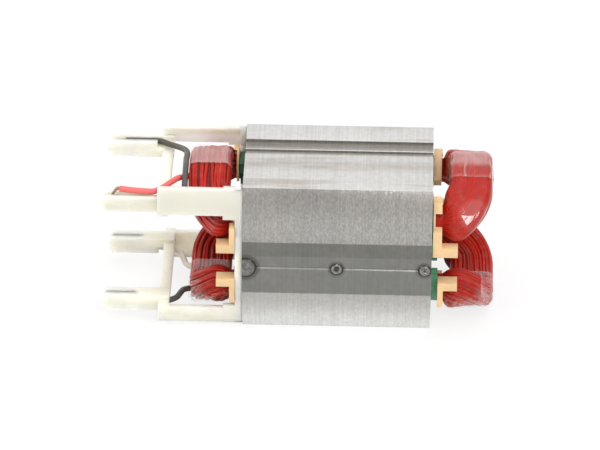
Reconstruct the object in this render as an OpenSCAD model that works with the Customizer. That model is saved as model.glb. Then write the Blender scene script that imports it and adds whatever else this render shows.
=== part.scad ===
// Field coil of a power tool motor: a two-pole stator with a terminal frame.
// X runs along the armature axis, away from the terminals, and Z along the poles.
// The origin is on the axis, half way along the stack, which lies on its lower flat.

/* [Stator core] */
// Length of the lamination stack
stack_l = 62.8; // [56:0.2:90]
// Height over the upper and lower flats
core_h = 53; // [52:0.5:60]
// Width over the weld flats
core_w = 56.4; // [55:0.2:62]
// Width of the upper and lower flats
flat_w = 42.6; // [40:0.2:46]
// Height of the weld flats
weld_flat_h = 19.4; // [17:0.2:23]
// Rise of the curved sides over their chord
side_rise = 1; // [0.6:0.1:1.6]
// Diameter of the armature bore
bore_d = 30; // [28:0.2:30.8]
// Angle that each pole face covers
pole_arc = 139; // [137:0.5:141]
// Width of the pole bodies
pole_w = 17; // [14:0.5:18.5]
// Thickness of the pole horns
pole_horn_t = 2; // [1.6:0.1:2.4]
// Radial depth of the winding slots
slot_depth = 8; // [7.6:0.1:9]
// Yoke thickness between a slot and a weld flat
yoke_side = 5.5; // [4.6:0.1:6]
// Yoke thickness between a slot and an upper or lower flat
yoke_end = 8.2; // [7:0.1:8.6]

/* [Flat grooves] */
// Width of the narrow groove
groove_narrow_w = 3.1; // [2:0.1:3.6]
// Width of the wide groove
groove_wide_w = 4.8; // [3:0.1:6]
// Distance of the narrow groove from the middle
groove_from_mid = 1.3; // [0.6:0.1:3]
// Width of the rib between the two grooves
groove_rib = 1.9; // [1:0.1:3]
// Depth of the grooves
groove_depth = 1.5; // [0.6:0.1:2.5]

/* [Side welds] */
// Diameter of the weld spots at the middle and at the far end
weld_d = 4.4; // [3:0.1:7]
// Diameter of the weld spots at the terminal end
weld_end_d = 7.6; // [5:0.1:9]
// Rise of the weld spots over the weld flat
weld_rise = 0.45; // [0.2:0.05:0.9]
// Distance of the outer weld spots from the stack ends
weld_inset = 2.2; // [1.5:0.1:8]
// Width of the weld groove
weld_groove_w = 0.9; // [0.5:0.1:1.6]
// Depth of the weld groove
weld_groove_depth = 0.4; // [0.2:0.05:0.8]

/* [Slot liners] */
// Thickness of the liner paper
liner_t = 0.35; // [0.2:0.05:0.5]
// Clearance between a liner and its slot
liner_gap = 0.1; // [0.05:0.05:0.2]
// Length of liner that stands out of the stack
liner_proud = 2.1; // [1:0.1:2.3]
// Length of upper liner that stands out at the far end
liner_proud_short = 0.3; // [0.1:0.1:0.6]

/* [Coils] */
// Clearance between the wires and their liner
coil_gap = 0.25; // [0.15:0.05:0.5]
// Angle left free at each side of a slot leg
leg_slack = 1.2; // [0.6:0.1:3]
// Length of the upper end turn past the stack at the far end
far_top_turn_l = 19.6; // [18.6:0.1:23]
// Length of the lower end turn past the stack at the far end
far_low_turn_l = 20.8; // [18.6:0.1:23]
// Length of the upper end turn past the stack at the terminal end
top_turn_l = 18.3; // [17.6:0.1:23]
// Length of the lower end turn past the stack at the terminal end
low_turn_l = 18.1; // [16:0.1:19.4]
// Clearance between the end turns and the side plates
turn_gap = 1.7; // [1:0.1:2.4]
// Clearance between the end turns and the bore
turn_bore_gap = 1.3; // [1:0.1:2]
// Radial thickness of the end turns at their crown
turn_t = 9.4; // [8:0.1:10]
// Added radial thickness of the end turns next to the slot legs
turn_swell = 1.8; // [0:0.1:2]
// Added half width of the end turns next to the slot legs
turn_bulge = 1.3; // [0:0.1:1.4]
// Bend radius of the end turns at the terminal end, at mid bundle
turn_bend = 10.4; // [9.4:0.1:11.5]
// Bend radius of the end turns at the far end, at mid bundle
far_bend = 12.4; // [9.4:0.1:12.6]
// Run past an end block over which the bundle widens
turn_run = 5; // [4.6:0.1:7]
// Corner radius of the wire bundles
bundle_round = 2.3; // [1.6:0.1:2.6]
// Height of the wire ridges
wire_ridge = 0.4; // [0.1:0.05:0.5]
// Number of wire ridges round a bundle
wire_count = 24; // [16:1:28]

/* [Tape] */
// Thickness of the tape wraps
tape_t = 0.25; // [0.15:0.05:0.4]
// Clearance between a tape wrap and the wires
tape_gap = 0.2; // [0.15:0.05:0.25]
// Width of the tape
tape_w = 13.5; // [8:0.5:16]
// Distance of the left upper tape from the pole axis, towards the back
tape_left_upper_at = 3.4; // [-6:0.1:6]
// Distance of the left lower tape from the pole axis, towards the front
tape_left_lower_at = 3.6; // [-6:0.1:6]
// Distance of the right lower tape from the pole axis, towards the front
tape_right_lower_at = 9.5; // [0:0.1:10]

/* [End blocks] */
// Thickness of the block plates
block_t = 1.8; // [1.4:0.1:2.4]
// Thickness of the block plates on the upper far side
block_thick_t = 2.9; // [2:0.1:3.4]
// Thickness of the walls between the wires and the bore and pole
block_wall = 1.2; // [1:0.1:1.8]
// Height of the horns under the wires
block_horn_h = 2.9; // [2.4:0.1:3.2]
// Distance from the middle plane to the horns
block_floor = 5; // [4:0.1:5.1]
// Height of the side lobes
block_lobe_h = 9; // [6:0.1:10]
// Distance from the stack to the horn tips
block_reach = 8.6; // [7:0.1:10]
// Thickness of the web across the wire notch
block_web_t = 0.7; // [0.5:0.1:1.2]
// Clearance between a block and the wires
block_gap = 0.5; // [0.4:0.05:0.6]
// Thickness of the lobes outside the wires
block_rim = 2.3; // [1.6:0.1:2.6]
// Height of the notch between the two lobes
block_notch_h = 3.5; // [2.5:0.1:4.5]
// Height of the upper lobes
block_tip_h = 2.7; // [1.6:0.1:3.4]
// Length of the guard walls at the terminal end
block_guard_l = 0.8; // [0.5:0.1:0.9]
// How far the guard walls of the far blocks stop short of their plates
block_guard_short = 0.3; // [0.2:0.05:0.5]
// Angle left free between the wires and the block wall on their pole side
block_slack = 3; // [2.6:0.1:3.4]
// Angle from the pole axis to the lower end of the wall on the bore side
block_wall_to = 58; // [50:1:62]

/* [Terminal frame] */
// Thickness of the two side plates
ring_t = 2.4; // [2.35:0.05:3.2]
// Inset of the side plates from the stack outline
ring_inset = 0.3; // [0.1:0.1:0.8]
// Width of the side plates between the upper and lower arms
ring_bar = 4.2; // [3:0.1:4.6]
// Width of the side plates at the arms
ring_lug = 6.4; // [5:0.1:8]
// Wall thickness of the four arms
arm_t = 2.2; // [2:0.1:3.4]
// Distance from the flats to the lower edges of the arms
arm_h = 8.6; // [7:0.1:10]
// Distance from the flats to the upper edges of the arms
arm_drop = 1.1; // [0.6:0.1:2]
// Distance from the flats to the upper edges of the arm roots
arm_root_drop = 0.7; // [0.4:0.1:1]
// Added height of the arms at their root
arm_root = 1.2; // [0.4:0.1:2]
// Length of the arm root
arm_root_l = 6.4; // [3:0.1:10]
// Clearance between the upper lead on the end turn and the bridges
bridge_gap = 3.35; // [0.4:0.05:6]
// Width of the bridges along the axis
bridge_l = 3.6; // [2.4:0.1:3.8]
// Height of the bridges
bridge_h = 3; // [2:0.1:3.6]
// Size of the square terminal posts
post_w = 5.6; // [5:0.1:6.4]
// Length of the posts past the arms
post_l = 18.7; // [15:0.1:28]
// Distance of the post middles from the weld flats
post_inset = 9.7; // [9:0.1:11]
// Distance of the post middles from the upper and lower flats
post_drop = 7.5; // [6.9:0.1:8]
// Chamfer of the post tips
post_chamfer = 1; // [0.4:0.1:1.6]

/* [Lead wires and contacts] */
// Diameter of the lead wires over their sleeves
lead_d = 2; // [1.6:0.1:2.2]
// Diameter of the bare conductors
conductor_d = 1.2; // [0.8:0.1:1.4]
// Length of the bare conductors
bare_l = 3.5; // [3:0.1:4.5]
// Distance of the sleeve ends from the post tips
sleeve_setback = 6; // [5:0.1:8]
// Depth of the lead middles in the posts
lead_sink = 1; // [0.4:0.1:1.2]
// Clearance round the lead wires
lead_gap = 0.25; // [0.15:0.05:0.4]
// Thickness of the contacts
contact_t = 0.8; // [0.6:0.1:1]
// Length of the contacts
contact_l = 10; // [8:0.1:12]
// Height of the contacts
contact_h = 2.8; // [2.2:0.1:3]
// Distance of the contact middles below the post middles
contact_drop = 1; // [0.8:0.1:1.1]
// Clearance round the contacts
contact_gap = 0.1; // [0.05:0.05:0.15]

/* [Hidden] */
$fn = 96;

UP = 1;
DOWN = -1;
FRONT = -1;
BACK = 1;
LEFT = -1;
RIGHT = 1;
eps = 0.01;
cut_over = 0.5;
far = 200;

// Stack and slots
stack_x = stack_l / 2;
core_y = core_w / 2;
core_z = core_h / 2;
bore_r = bore_d / 2;
slot_r_in = bore_r + pole_horn_t;
slot_r_out = slot_r_in + slot_depth;
slot_y = core_y - yoke_side;
slot_z = core_z - yoke_end;

// Slot legs and end turns of the coils, on a cylinder about the axis. The round corners
// of a leg, with their ridges, stay clear of the slot walls. A wall outside the radius of
// the wires doesn't limit them.
cell_inset = liner_gap + liner_t + coil_gap;
wires_r_in = slot_r_in + cell_inset;
wires_r_out = slot_r_out - cell_inset;
wrap_r = (slot_r_in + slot_r_out) / 2;
leg_half_r = (wires_r_out - wires_r_in) / 2 - wire_ridge / 2;
corner_in = (bundle_round + wire_ridge / 2) * (1 - cos(45));
corner_r = wires_r_out - corner_in;
corner_angle = (corner_in - wire_ridge / 2) / wrap_r * 180 / PI;
leg_from = leg_slack + max(
    acos(min(1, (slot_z - cell_inset) / corner_r)) - corner_angle,
    asin((pole_w / 2 + cell_inset) / wires_r_in)
);
leg_to = min(
    asin(min(1, (slot_y - cell_inset) / corner_r)) + corner_angle,
    pole_arc / 2 - asin(cell_inset / wires_r_in)
) - leg_slack;
leg_s = wrap_r * (leg_from + leg_to) / 2 * PI / 180;
leg_half_s = wrap_r * (leg_to - leg_from) / 2 * PI / 180;
far_top_reach = stack_x + far_top_turn_l;
far_low_reach = stack_x + far_low_turn_l;
upper_reach = stack_x + top_turn_l;
lower_reach = stack_x + low_turn_l;
turn_half_w = (low_turn_l - ring_t - turn_gap) / 2;
turn_half_r = turn_t / 2;
turn_r = bore_r + turn_bore_gap + turn_half_r;
bend_steps = 8;
leg_pad = 1;
crown_shares = [-0.6, 0, 0.6];

// Blocks
block_r_wall = wires_r_in - block_gap;
block_r_in = block_r_wall - block_wall;
block_r_out = wires_r_out + block_gap;
block_y = core_y - ring_inset;
block_wall_end = leg_from - block_slack;
block_wall_from = block_wall_end - block_wall / wrap_r * 180 / PI;
block_in_y = slot_y + block_gap;
block_lobe_top = block_floor + block_lobe_h;
block_tip_low = block_lobe_top + block_notch_h;
block_lap = 2;
block_bite = 0.6;
block_far_r = max(block_r_out + block_rim, norm([block_in_y + block_bite, block_lobe_top - block_lap]));
block_tip_high = max(block_tip_low + block_tip_h, block_r_out * cos(block_wall_end) + block_bite);
seat_gap = 0.05;
left_plate_x = stack_x + ring_t + seat_gap + block_t;
right_plate_x = stack_x + seat_gap + max(liner_proud + block_t, liner_proud_short + block_thick_t);

// Frame
ring_y = core_y - ring_inset - ring_bar;
lug_y = core_y - ring_inset - ring_lug;
ring_x = stack_x + ring_t;
arm_floor = core_z - arm_h;
lead_r = lead_d / 2;
lead_skin = tape_gap + tape_t + wire_ridge / 2 + lead_r + lead_gap;
lead_face_x = upper_reach + lead_skin;
arm_reach = lead_face_x + lead_r + bridge_gap + bridge_l;
post_y = core_y - post_inset;
post_z = core_z - post_drop;
post_reach = arm_reach + post_l;
post_top = post_z + post_w / 2;
bridge_floor = post_z - bridge_h / 2;
channel_r = lead_r + lead_gap;
channel_z = post_top - lead_sink;
lead_end_x = post_reach - sleeve_setback;
contact_x = post_reach - post_chamfer;
contact_top = post_z + contact_h / 2 - contact_drop;

STEEL = "silver";
RED = "firebrick";
TAN = "burlywood";
GREEN = "seagreen";
IVORY = "ivory";
BLACK = "dimgray";
BRASS = "goldenrod";
TAPE = "lightpink";

// Children drawn in the Y-Z plane, extruded along X from x over a length l
module along_x(x, l) {
    translate([x, 0, 0])
        rotate([90, 0, 90])
            linear_extrude(l)
                children();
}

// Children drawn at the upper back corner, moved to another corner
module to_corner(y_side, z_side) {
    mirror([0, y_side < 0 ? 1 : 0, 0])
        mirror([0, 0, z_side < 0 ? 1 : 0])
            children();
}

// Children drawn at the right end, moved to either end
module to_end(x_side) {
    mirror([x_side < 0 ? 1 : 0, 0, 0])
        children();
}

// Half plane of the points less than an angle away from the pole axis, less an inset
module below_angle(angle, inset) {
    rotate(90 - angle)
        translate([-far / 2, inset])
            square([far, far]);
}

module ring_2d(r_in, r_out) {
    difference() {
        circle(r_out);
        circle(r_in);
    }
}

// Stack outline, one quarter at a time: an upper flat, a curved side and half a weld flat
module outline_2d(inset = 0) {
    chord = [core_y - flat_w / 2, weld_flat_h / 2 - core_z];
    chord_l = norm(chord);
    side_r = (chord_l * chord_l / 4 + side_rise * side_rise) / (2 * side_rise);
    outward = [-chord[1], chord[0]] / chord_l;
    mid = [(core_y + flat_w / 2) / 2, (core_z + weld_flat_h / 2) / 2];
    centre = mid - outward * (side_r - side_rise);
    for (y_side = [0, 1])
        for (z_side = [0, 1])
            mirror([y_side, 0])
                mirror([0, z_side])
                    intersection() {
                        translate([-1, -1])
                            square([core_y - inset + 1, core_z - inset + 1]);
                        translate(centre)
                            circle(side_r - inset);
                    }
}

// One winding slot cell at the upper back corner, drawn in from the slot walls
module cell_2d(inset) {
    intersection() {
        ring_2d(slot_r_in + inset, slot_r_out - inset);
        translate([pole_w / 2 + inset, 0])
            square([slot_y - pole_w / 2 - 2 * inset, slot_z - inset]);
        below_angle(pole_arc / 2, inset);
    }
}

// The slot pair at the back and its opening to the bore
module slot_pair_2d() {
    tip = 90 - pole_arc / 2;
    intersection() {
        ring_2d(slot_r_in, slot_r_out);
        translate([pole_w / 2, -slot_z])
            square([slot_y - pole_w / 2, 2 * slot_z]);
    }
    intersection() {
        circle(slot_r_in + cut_over);
        polygon([[0, 0], far * [cos(tip), sin(tip)], far * [cos(tip), -sin(tip)]]);
    }
}

// The two lengthwise grooves in the upper flat, and the weld groove at the back
module grooves_2d() {
    narrow_end = groove_from_mid + groove_narrow_w;
    translate([groove_from_mid, core_z - groove_depth])
        square([groove_narrow_w, groove_depth + cut_over]);
    translate([narrow_end + groove_rib, core_z - groove_depth])
        square([groove_wide_w, groove_depth + cut_over]);
    polygon([
        [core_y - weld_groove_depth, 0],
        [core_y + eps, weld_groove_w / 2],
        [core_y + eps, -weld_groove_w / 2]
    ]);
}

module stator_core() {
    color(STEEL)
        along_x(-stack_x, stack_l)
            difference() {
                outline_2d();
                circle(bore_r);
                for (turn = [0, 180])
                    rotate(turn) {
                        slot_pair_2d();
                        grooves_2d();
                    }
            }
}

// A spot of weld metal with a sunk middle on the weld flat at the back, cut off at the stack ends
module weld_spot(x, d) {
    toe = 0.84 * d / 2;
    crest = 0.6 * d / 2;
    dish = 0.32 * d / 2;
    intersection() {
        translate([x, core_y, 0])
            rotate([-90, 0, 0])
                rotate_extrude()
                    polygon([
                        [0, 0],
                        [d / 2, 0],
                        [toe, weld_rise * 0.6],
                        [crest, weld_rise],
                        [dish, weld_rise * 0.8],
                        [0, weld_rise * 0.5]
                    ]);
        translate([-stack_x, core_y - 1, -d])
            cube([stack_l, 2, 2 * d]);
    }
}

module side_welds() {
    color(STEEL)
        for (y_side = [FRONT, BACK])
            to_corner(y_side, UP) {
                weld_spot(0, weld_d);
                weld_spot(stack_x - weld_inset, weld_d);
                weld_spot(weld_inset / 2 - stack_x, weld_end_d);
            }
}

// Paper tube round one slot leg, longer than the stack at both ends
module liner(y_side, z_side) {
    proud_right = z_side == UP ? liner_proud_short : liner_proud;
    color(GREEN)
        to_corner(y_side, z_side)
            along_x(-stack_x - liner_proud, stack_l + liner_proud + proud_right)
                difference() {
                    cell_2d(liner_gap);
                    cell_2d(liner_gap + liner_t);
                }
}

module liner_upper_front() { liner(FRONT, UP); }
module liner_upper_back() { liner(BACK, UP); }
module liner_lower_front() { liner(FRONT, DOWN); }
module liner_lower_back() { liner(BACK, DOWN); }

// Mid-bundle path of a coil in the unrolled X-S plane, as [x, s, direction, plate] stations.
// It is a rectangle with round corners: direction is the angle of the outward normal,
// and plate is the distance from the middle at which the bundle leaves its end blocks.
function bend_s(radius) = leg_s - radius;
function bend_x(reach, radius) = reach - turn_half_w - radius;
function leg_end(reach, radius, plate) = min(bend_x(reach, radius), plate) - leg_pad;
function bend(reach, radius, x_side, s_side, a, plate) = [
    for (i = [0 : bend_steps])
        let (turn = a + 90 * i / bend_steps)
        [
            x_side * bend_x(reach, radius) + radius * cos(turn),
            s_side * bend_s(radius) + radius * sin(turn),
            turn,
            plate
        ]
];
function crown(reach, radius, x_side, plate) = [
    for (share = crown_shares)
        [x_side * (reach - turn_half_w), x_side * share * bend_s(radius), x_side > 0 ? 0 : 180, plate]
];
function coil_path(left, right) = concat(
    crown(right, far_bend, RIGHT, right_plate_x),
    bend(right, far_bend, RIGHT, BACK, 0, right_plate_x),
    [[leg_end(right, far_bend, right_plate_x), leg_s, 90, right_plate_x]],
    [[-leg_end(left, turn_bend, left_plate_x), leg_s, 90, left_plate_x]],
    bend(left, turn_bend, LEFT, BACK, 90, left_plate_x),
    crown(left, turn_bend, LEFT, left_plate_x),
    bend(left, turn_bend, LEFT, FRONT, 180, left_plate_x),
    [[-leg_end(left, turn_bend, left_plate_x), -leg_s, 270, left_plate_x]],
    [[leg_end(right, far_bend, right_plate_x), -leg_s, 270, right_plate_x]],
    bend(right, far_bend, RIGHT, FRONT, 270, right_plate_x)
);

// How far a bundle has widened at a distance x from the middle: 0 up to its blocks, then up to 1
function widened(x, plate) = let (u = min(1, max(0, abs(x) - plate) / turn_run)) u * (2 - u);
function between_sizes(slot, turn, share) = slot + (turn - slot) * share;

// Point of a rounded box of half sizes w and h, at a share t of its outline from its +w side
function boxed(t, w, h, round) =
    let (
        arc = PI / 2 * round,
        quarter = floor(4 * t),
        part = 4 * t - quarter,
        run = (quarter % 2 == 0 ? part : 1 - part) * (w + h - 2 * round + arc),
        turn = min(90, max(0, run - h + round) / round * 180 / PI),
        flat = max(0, run - h + round - arc),
        p = run < h - round
            ? [w, run]
            : [w - round * (1 - cos(turn)) - flat, h - round * (1 - sin(turn))]
    )
    [
        quarter == 1 || quarter == 2 ? -p[0] : p[0],
        quarter >= 2 ? -p[1] : p[1]
    ];

// Wrap a point of the unrolled plane on the cylinder of the upper coil
function wrapped(x, s, r) = let (a = s / wrap_r * 180 / PI) [x, r * sin(a), r * cos(a)];

// One point of the bundle surface: a share t round the section at a station, moved out from it
function bundle_point(station, t, out) =
    let (
        plain = boxed(t, leg_half_s, leg_half_r, bundle_round),
        wide = widened(station[0] + plain[0] * cos(station[2]), station[3]),
        swell = wide * pow(sin(station[2]), 2),
        half_s = between_sizes(leg_half_s, turn_half_w, wide) + turn_bulge * swell,
        half_r = between_sizes(leg_half_r, turn_half_r, wide) + turn_swell * swell / 2,
        mid_r = between_sizes(wrap_r, turn_r, wide) + turn_swell * swell / 2,
        p = boxed(t, half_s + out, half_r + out, bundle_round + out)
    )
    wrapped(
        station[0] + p[0] * cos(station[2]),
        station[1] + p[0] * sin(station[2]),
        mid_r + p[1]
    );

// One ring of the bundle surface at a station, with its wire ridges and an added skin
function bundle_ring(station, points, ridge, skin) = [
    for (k = [0 : points - 1])
        bundle_point(station, k / points, skin + (k % 2 == 0 ? ridge / 2 : -ridge / 2))
];

// Triangles between two rings of n points that start at the given indices
function band(a, b, n) = [
    for (k = [0 : n - 1])
        let (next = (k + 1) % n)
        each [[a + k, a + next, b + next], [a + k, b + next, b + k]]
];

module coil(left, right) {
    path = coil_path(left, right);
    points = 2 * wire_count;
    count = len(path);
    rings = [for (station = path) each bundle_ring(station, points, wire_ridge, 0)];
    faces = [
        for (i = [0 : count - 1])
            each band(points * i, points * ((i + 1) % count), points)
    ];
    polyhedron(rings, faces, convexity = 8);
}

module upper_coil() {
    color(RED)
        coil(upper_reach, far_top_reach);
}

module lower_coil() {
    color(RED)
        mirror([0, 0, 1])
            coil(lower_reach, far_low_reach);
}

// Station of the end turn path at a run s from its crown, towards the back when positive
function crown_station(reach, radius, plate_x, s) =
    let (
        run = max(0, abs(s) - bend_s(radius)) / radius * 180 / PI,
        side = sign(s)
    )
    [
        bend_x(reach, radius) + radius * cos(run),
        run > 0 ? side * (bend_s(radius) + radius * sin(run)) : s,
        side * run,
        plate_x
    ];

// A band of tape round a bundle: an outer and an inner skin joined at both edges
module tape_wrap(reach, radius, plate_x, middle) {
    steps = 6;
    points = wire_count;
    skin_in = wire_ridge / 2 + tape_gap;
    stations = [
        for (i = [0 : steps])
            crown_station(reach, radius, plate_x, middle + tape_w * (i / steps - 0.5))
    ];
    outer = [for (station = stations) each bundle_ring(station, points, 0, skin_in + tape_t)];
    inner = [for (station = stations) each bundle_ring(station, points, 0, skin_in)];
    start_in = points * (steps + 1);
    outer_faces = [for (i = [0 : steps - 1]) each band(points * i, points * (i + 1), points)];
    inner_faces = [
        for (i = [0 : steps - 1])
            each band(start_in + points * (i + 1), start_in + points * i, points)
    ];
    edge_faces = concat(
        band(start_in, 0, points),
        band(points * steps, start_in + points * steps, points)
    );
    polyhedron(
        concat(outer, inner),
        concat(outer_faces, inner_faces, edge_faces),
        convexity = 8
    );
}

module tape(x_side, z_side, reach, middle) {
    radius = x_side == LEFT ? turn_bend : far_bend;
    plate_x = x_side == LEFT ? left_plate_x : right_plate_x;
    color(TAPE)
        to_corner(BACK, z_side)
            to_end(x_side)
                tape_wrap(reach, radius, plate_x, middle);
}

module tape_left_upper() { tape(LEFT, UP, upper_reach, tape_left_upper_at); }
module tape_left_lower() { tape(LEFT, DOWN, lower_reach, -tape_left_lower_at); }
module tape_right_upper() { tape(RIGHT, UP, far_top_reach, 0); }
module tape_right_lower() { tape(RIGHT, DOWN, far_low_reach, -tape_right_lower_at); }

// Sector of a ring between two angles from the pole axis
module sector_2d(r_in, r_out, from, to) {
    intersection() {
        ring_2d(r_in, r_out);
        below_angle(to, 0);
        mirror([1, 0])
            below_angle(-from, 0);
    }
}

// Walls of an end block round the pole side and the bore side of the wires
module block_guard_2d() {
    sector_2d(block_r_in, block_r_out + block_bite, block_wall_from, block_wall_end);
    sector_2d(block_r_in, block_r_wall, block_wall_from, block_wall_to);
}

// Upper lobe outside the wires, and the web that joins it to the side lobe
module block_lobe_2d(low, high) {
    intersection() {
        ring_2d(block_r_out, block_far_r);
        translate([0, low])
            square([far, high - low]);
    }
}

// An end block at the right upper back corner, with its seat at x
module block_at(x, t, guard_l) {
    along_x(x, guard_l)
        block_guard_2d();
    along_x(x, t) {
        block_lobe_2d(block_tip_low, block_tip_high);
        translate([block_in_y, block_floor])
            square([block_y - block_in_y, block_lobe_h]);
    }
    along_x(x, block_web_t)
        block_lobe_2d(block_lobe_top - block_lap, block_tip_high - eps);
    translate([x + eps, block_in_y, block_floor])
        cube([stack_x + block_reach - x - eps, block_y - block_in_y, block_horn_h]);
}

module block(x_side, y_side, z_side, seat, t) {
    guard_l = x_side == LEFT ? block_guard_l : t - block_guard_short;
    color(TAN)
        to_end(x_side)
            to_corner(y_side, z_side)
                block_at(stack_x + seat + seat_gap, t, guard_l);
}

module block_left_upper_front() { block(LEFT, FRONT, UP, ring_t, block_t); }
module block_left_upper_back() { block(LEFT, BACK, UP, ring_t, block_t); }
module block_left_lower_front() { block(LEFT, FRONT, DOWN, ring_t, block_t); }
module block_left_lower_back() { block(LEFT, BACK, DOWN, ring_t, block_t); }
module block_right_upper_front() { block(RIGHT, FRONT, UP, liner_proud_short, block_thick_t); }
module block_right_upper_back() { block(RIGHT, BACK, UP, liner_proud_short, block_thick_t); }
module block_right_lower_front() { block(RIGHT, FRONT, DOWN, liner_proud, block_t); }
module block_right_lower_back() { block(RIGHT, BACK, DOWN, liner_proud, block_t); }

// Section of one arm between two heights: a wall along the curved side of the stack
module arm_2d(low, high) {
    intersection() {
        difference() {
            outline_2d(ring_inset);
            translate([-arm_t, 0])
                outline_2d(ring_inset);
        }
        translate([0, low])
            square([far, high - low]);
    }
}

// One arm with its root, its post and half a bridge, at the upper back corner
module frame_corner() {
    along_x(-arm_reach, arm_reach - ring_x + eps)
        arm_2d(arm_floor, core_z - arm_drop);
    along_x(-stack_x - arm_root_l, arm_root_l - ring_t + eps)
        arm_2d(arm_floor - arm_root, core_z - arm_root_drop);
    difference() {
        union() {
            along_x(-arm_reach, bridge_l)
                intersection() {
                    outline_2d(ring_inset);
                    translate([-eps, bridge_floor])
                        square([far, bridge_h]);
                }
            post();
        }
        post_cuts();
    }
}

// A square post whose four tip edges are chamfered
module post() {
    tip = post_reach - post_chamfer;
    half = post_w / 2;
    intersection() {
        translate([0, 0, post_z - half])
            linear_extrude(post_w)
                polygon([
                    [-arm_reach + bridge_l, post_y - half],
                    [-arm_reach + bridge_l, post_y + half],
                    [-tip, post_y + half],
                    [-post_reach, post_y + half - post_chamfer],
                    [-post_reach, post_y - half + post_chamfer],
                    [-tip, post_y - half]
                ]);
        translate([0, post_y + half, 0])
            rotate([90, 0, 0])
                linear_extrude(post_w)
                    polygon([
                        [-arm_reach + bridge_l, post_z - half],
                        [-arm_reach + bridge_l, post_z + half],
                        [-tip, post_z + half],
                        [-post_reach, post_z + half - post_chamfer],
                        [-post_reach, post_z - half + post_chamfer],
                        [-tip, post_z - half]
                    ]);
    }
}

// Wire channel along the outer side of a post, the slot for its contact, and the window
// between the two for the bare end of the wire
module post_cuts() {
    slot_w = contact_t + 2 * contact_gap;
    slot_h = contact_h + 2 * contact_gap;
    window_w = conductor_d + 2 * lead_gap;
    slot_l = post_reach - contact_x + contact_l + contact_gap;
    window_l = bare_l * 0.6;
    mouth_l = bridge_l + lead_d;
    tip = -post_reach - cut_over;
    translate([-lead_end_x - bare_l - lead_gap, post_y - window_w / 2, contact_top])
        cube([window_l, window_w, post_top - contact_top + cut_over]);
    translate([-arm_reach + bridge_l - mouth_l, post_y - post_w, channel_z - channel_r])
        cube([mouth_l + cut_over, post_w, post_w]);
    translate([tip, post_y, channel_z])
        rotate([0, 90, 0])
            cylinder(h = post_l + bridge_l + 2 * cut_over, r = channel_r);
    translate([tip, post_y - slot_w / 2, contact_top + contact_gap - slot_h])
        cube([slot_l + cut_over, slot_w, slot_h]);
}

module terminal_frame() {
    color(IVORY) {
        along_x(-ring_x, ring_t)
            difference() {
                outline_2d(ring_inset);
                square([2 * ring_y, 2 * arm_floor], center = true);
                square([2 * lug_y, far], center = true);
            }
        for (y_side = [FRONT, BACK])
            for (z_side = [UP, DOWN])
                to_corner(y_side, z_side)
                    frame_corner();
    }
}

// Lead wires: tubes along hand-laid routes, with the bare conductor at the post tip
lead_sides = 8;

// Run and dip of a bare conductor, as shares of its length and of its drop to the contact
BARE_SHARES = [[-0.15, 0], [0.25, 0], [0.7, 0.7], [0.9, 1], [1, 1]];

// A point at an angle from the pole axis, towards the back when positive
function polar(x, angle, r) = [x, r * sin(angle), r * cos(angle)];

// Black lead across the face of the upper end turn, to the upper back post
lead_face_r = turn_r + 3.4;
ROUTE_UPPER_BACK = [
    polar(-lead_face_x, -31, lead_face_r),
    polar(-lead_face_x, -16, lead_face_r),
    polar(-lead_face_x, 0, lead_face_r),
    polar(-lead_face_x, 14, lead_face_r),
    polar(-lead_face_x - 0.5, 27, lead_face_r + 0.6),
    [-arm_reach + bridge_l / 2, post_y - 2.4, channel_z + 0.3],
    [-arm_reach - 1.5, post_y, channel_z],
    [-arm_reach - 6, post_y, channel_z],
    [-lead_end_x, post_y, channel_z]
];

// Red lead from the face of the upper end turn, under the black one, to the upper front post
ROUTE_UPPER_FRONT = [
    polar(-lead_face_x, -13, turn_r),
    polar(-lead_face_x - 2.6, -21, turn_r + 2.6),
    [-arm_reach + bridge_l / 2, 2.6 - post_y, post_top + 1.2],
    [-arm_reach - 1, -post_y, post_top + 1],
    [-arm_reach - 4, -post_y, post_top + 0.9],
    [-arm_reach - 8, -post_y, post_top + 1.2],
    [-lead_end_x, -post_y, post_top + 1.7]
];

// Black lead from the front of the lower end turn, to the lower front post
lead_low_x = lower_reach + lead_skin;
ROUTE_LOWER_FRONT = [
    polar(-lead_low_x, -28, turn_r + 1.5),
    polar(-lead_low_x - 1, -33, turn_r + 2.4),
    [-arm_reach + bridge_l + 2, 3.4 - post_y, channel_z - 0.4],
    [-arm_reach + bridge_l / 2, 1.4 - post_y, channel_z],
    [-arm_reach - 1.5, -post_y, channel_z],
    [-arm_reach - 6, -post_y, channel_z],
    [-lead_end_x, -post_y, channel_z]
];

// Pale lead from the lower end turn, to the lower back post
ROUTE_LOWER_BACK = [
    polar(-lead_low_x, 20, turn_r + 1.5),
    polar(-lead_low_x - 1, 26, turn_r + 2.4),
    [-arm_reach + bridge_l + 2, post_y - 4.4, channel_z - 0.2],
    [-arm_reach + bridge_l / 2, post_y - 1.8, channel_z],
    [-arm_reach - 1.5, post_y, channel_z],
    [-arm_reach - 6, post_y, channel_z],
    [-lead_end_x, post_y, channel_z]
];

// Catmull-Rom point between p[i] and p[i + 1]
function between(p, i, t) =
    let (
        p0 = p[max(i - 1, 0)],
        p1 = p[i],
        p2 = p[i + 1],
        p3 = p[min(i + 2, len(p) - 1)]
    )
    0.5 * (2 * p1 + (p2 - p0) * t + (2 * p0 - 5 * p1 + 4 * p2 - p3) * t * t
        + (3 * p1 - p0 - 3 * p2 + p3) * t * t * t);
function smoothed(p) = concat(
    [for (i = [0 : len(p) - 2]) each [p[i], between(p, i, 0.5)]],
    [p[len(p) - 1]]
);

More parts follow.
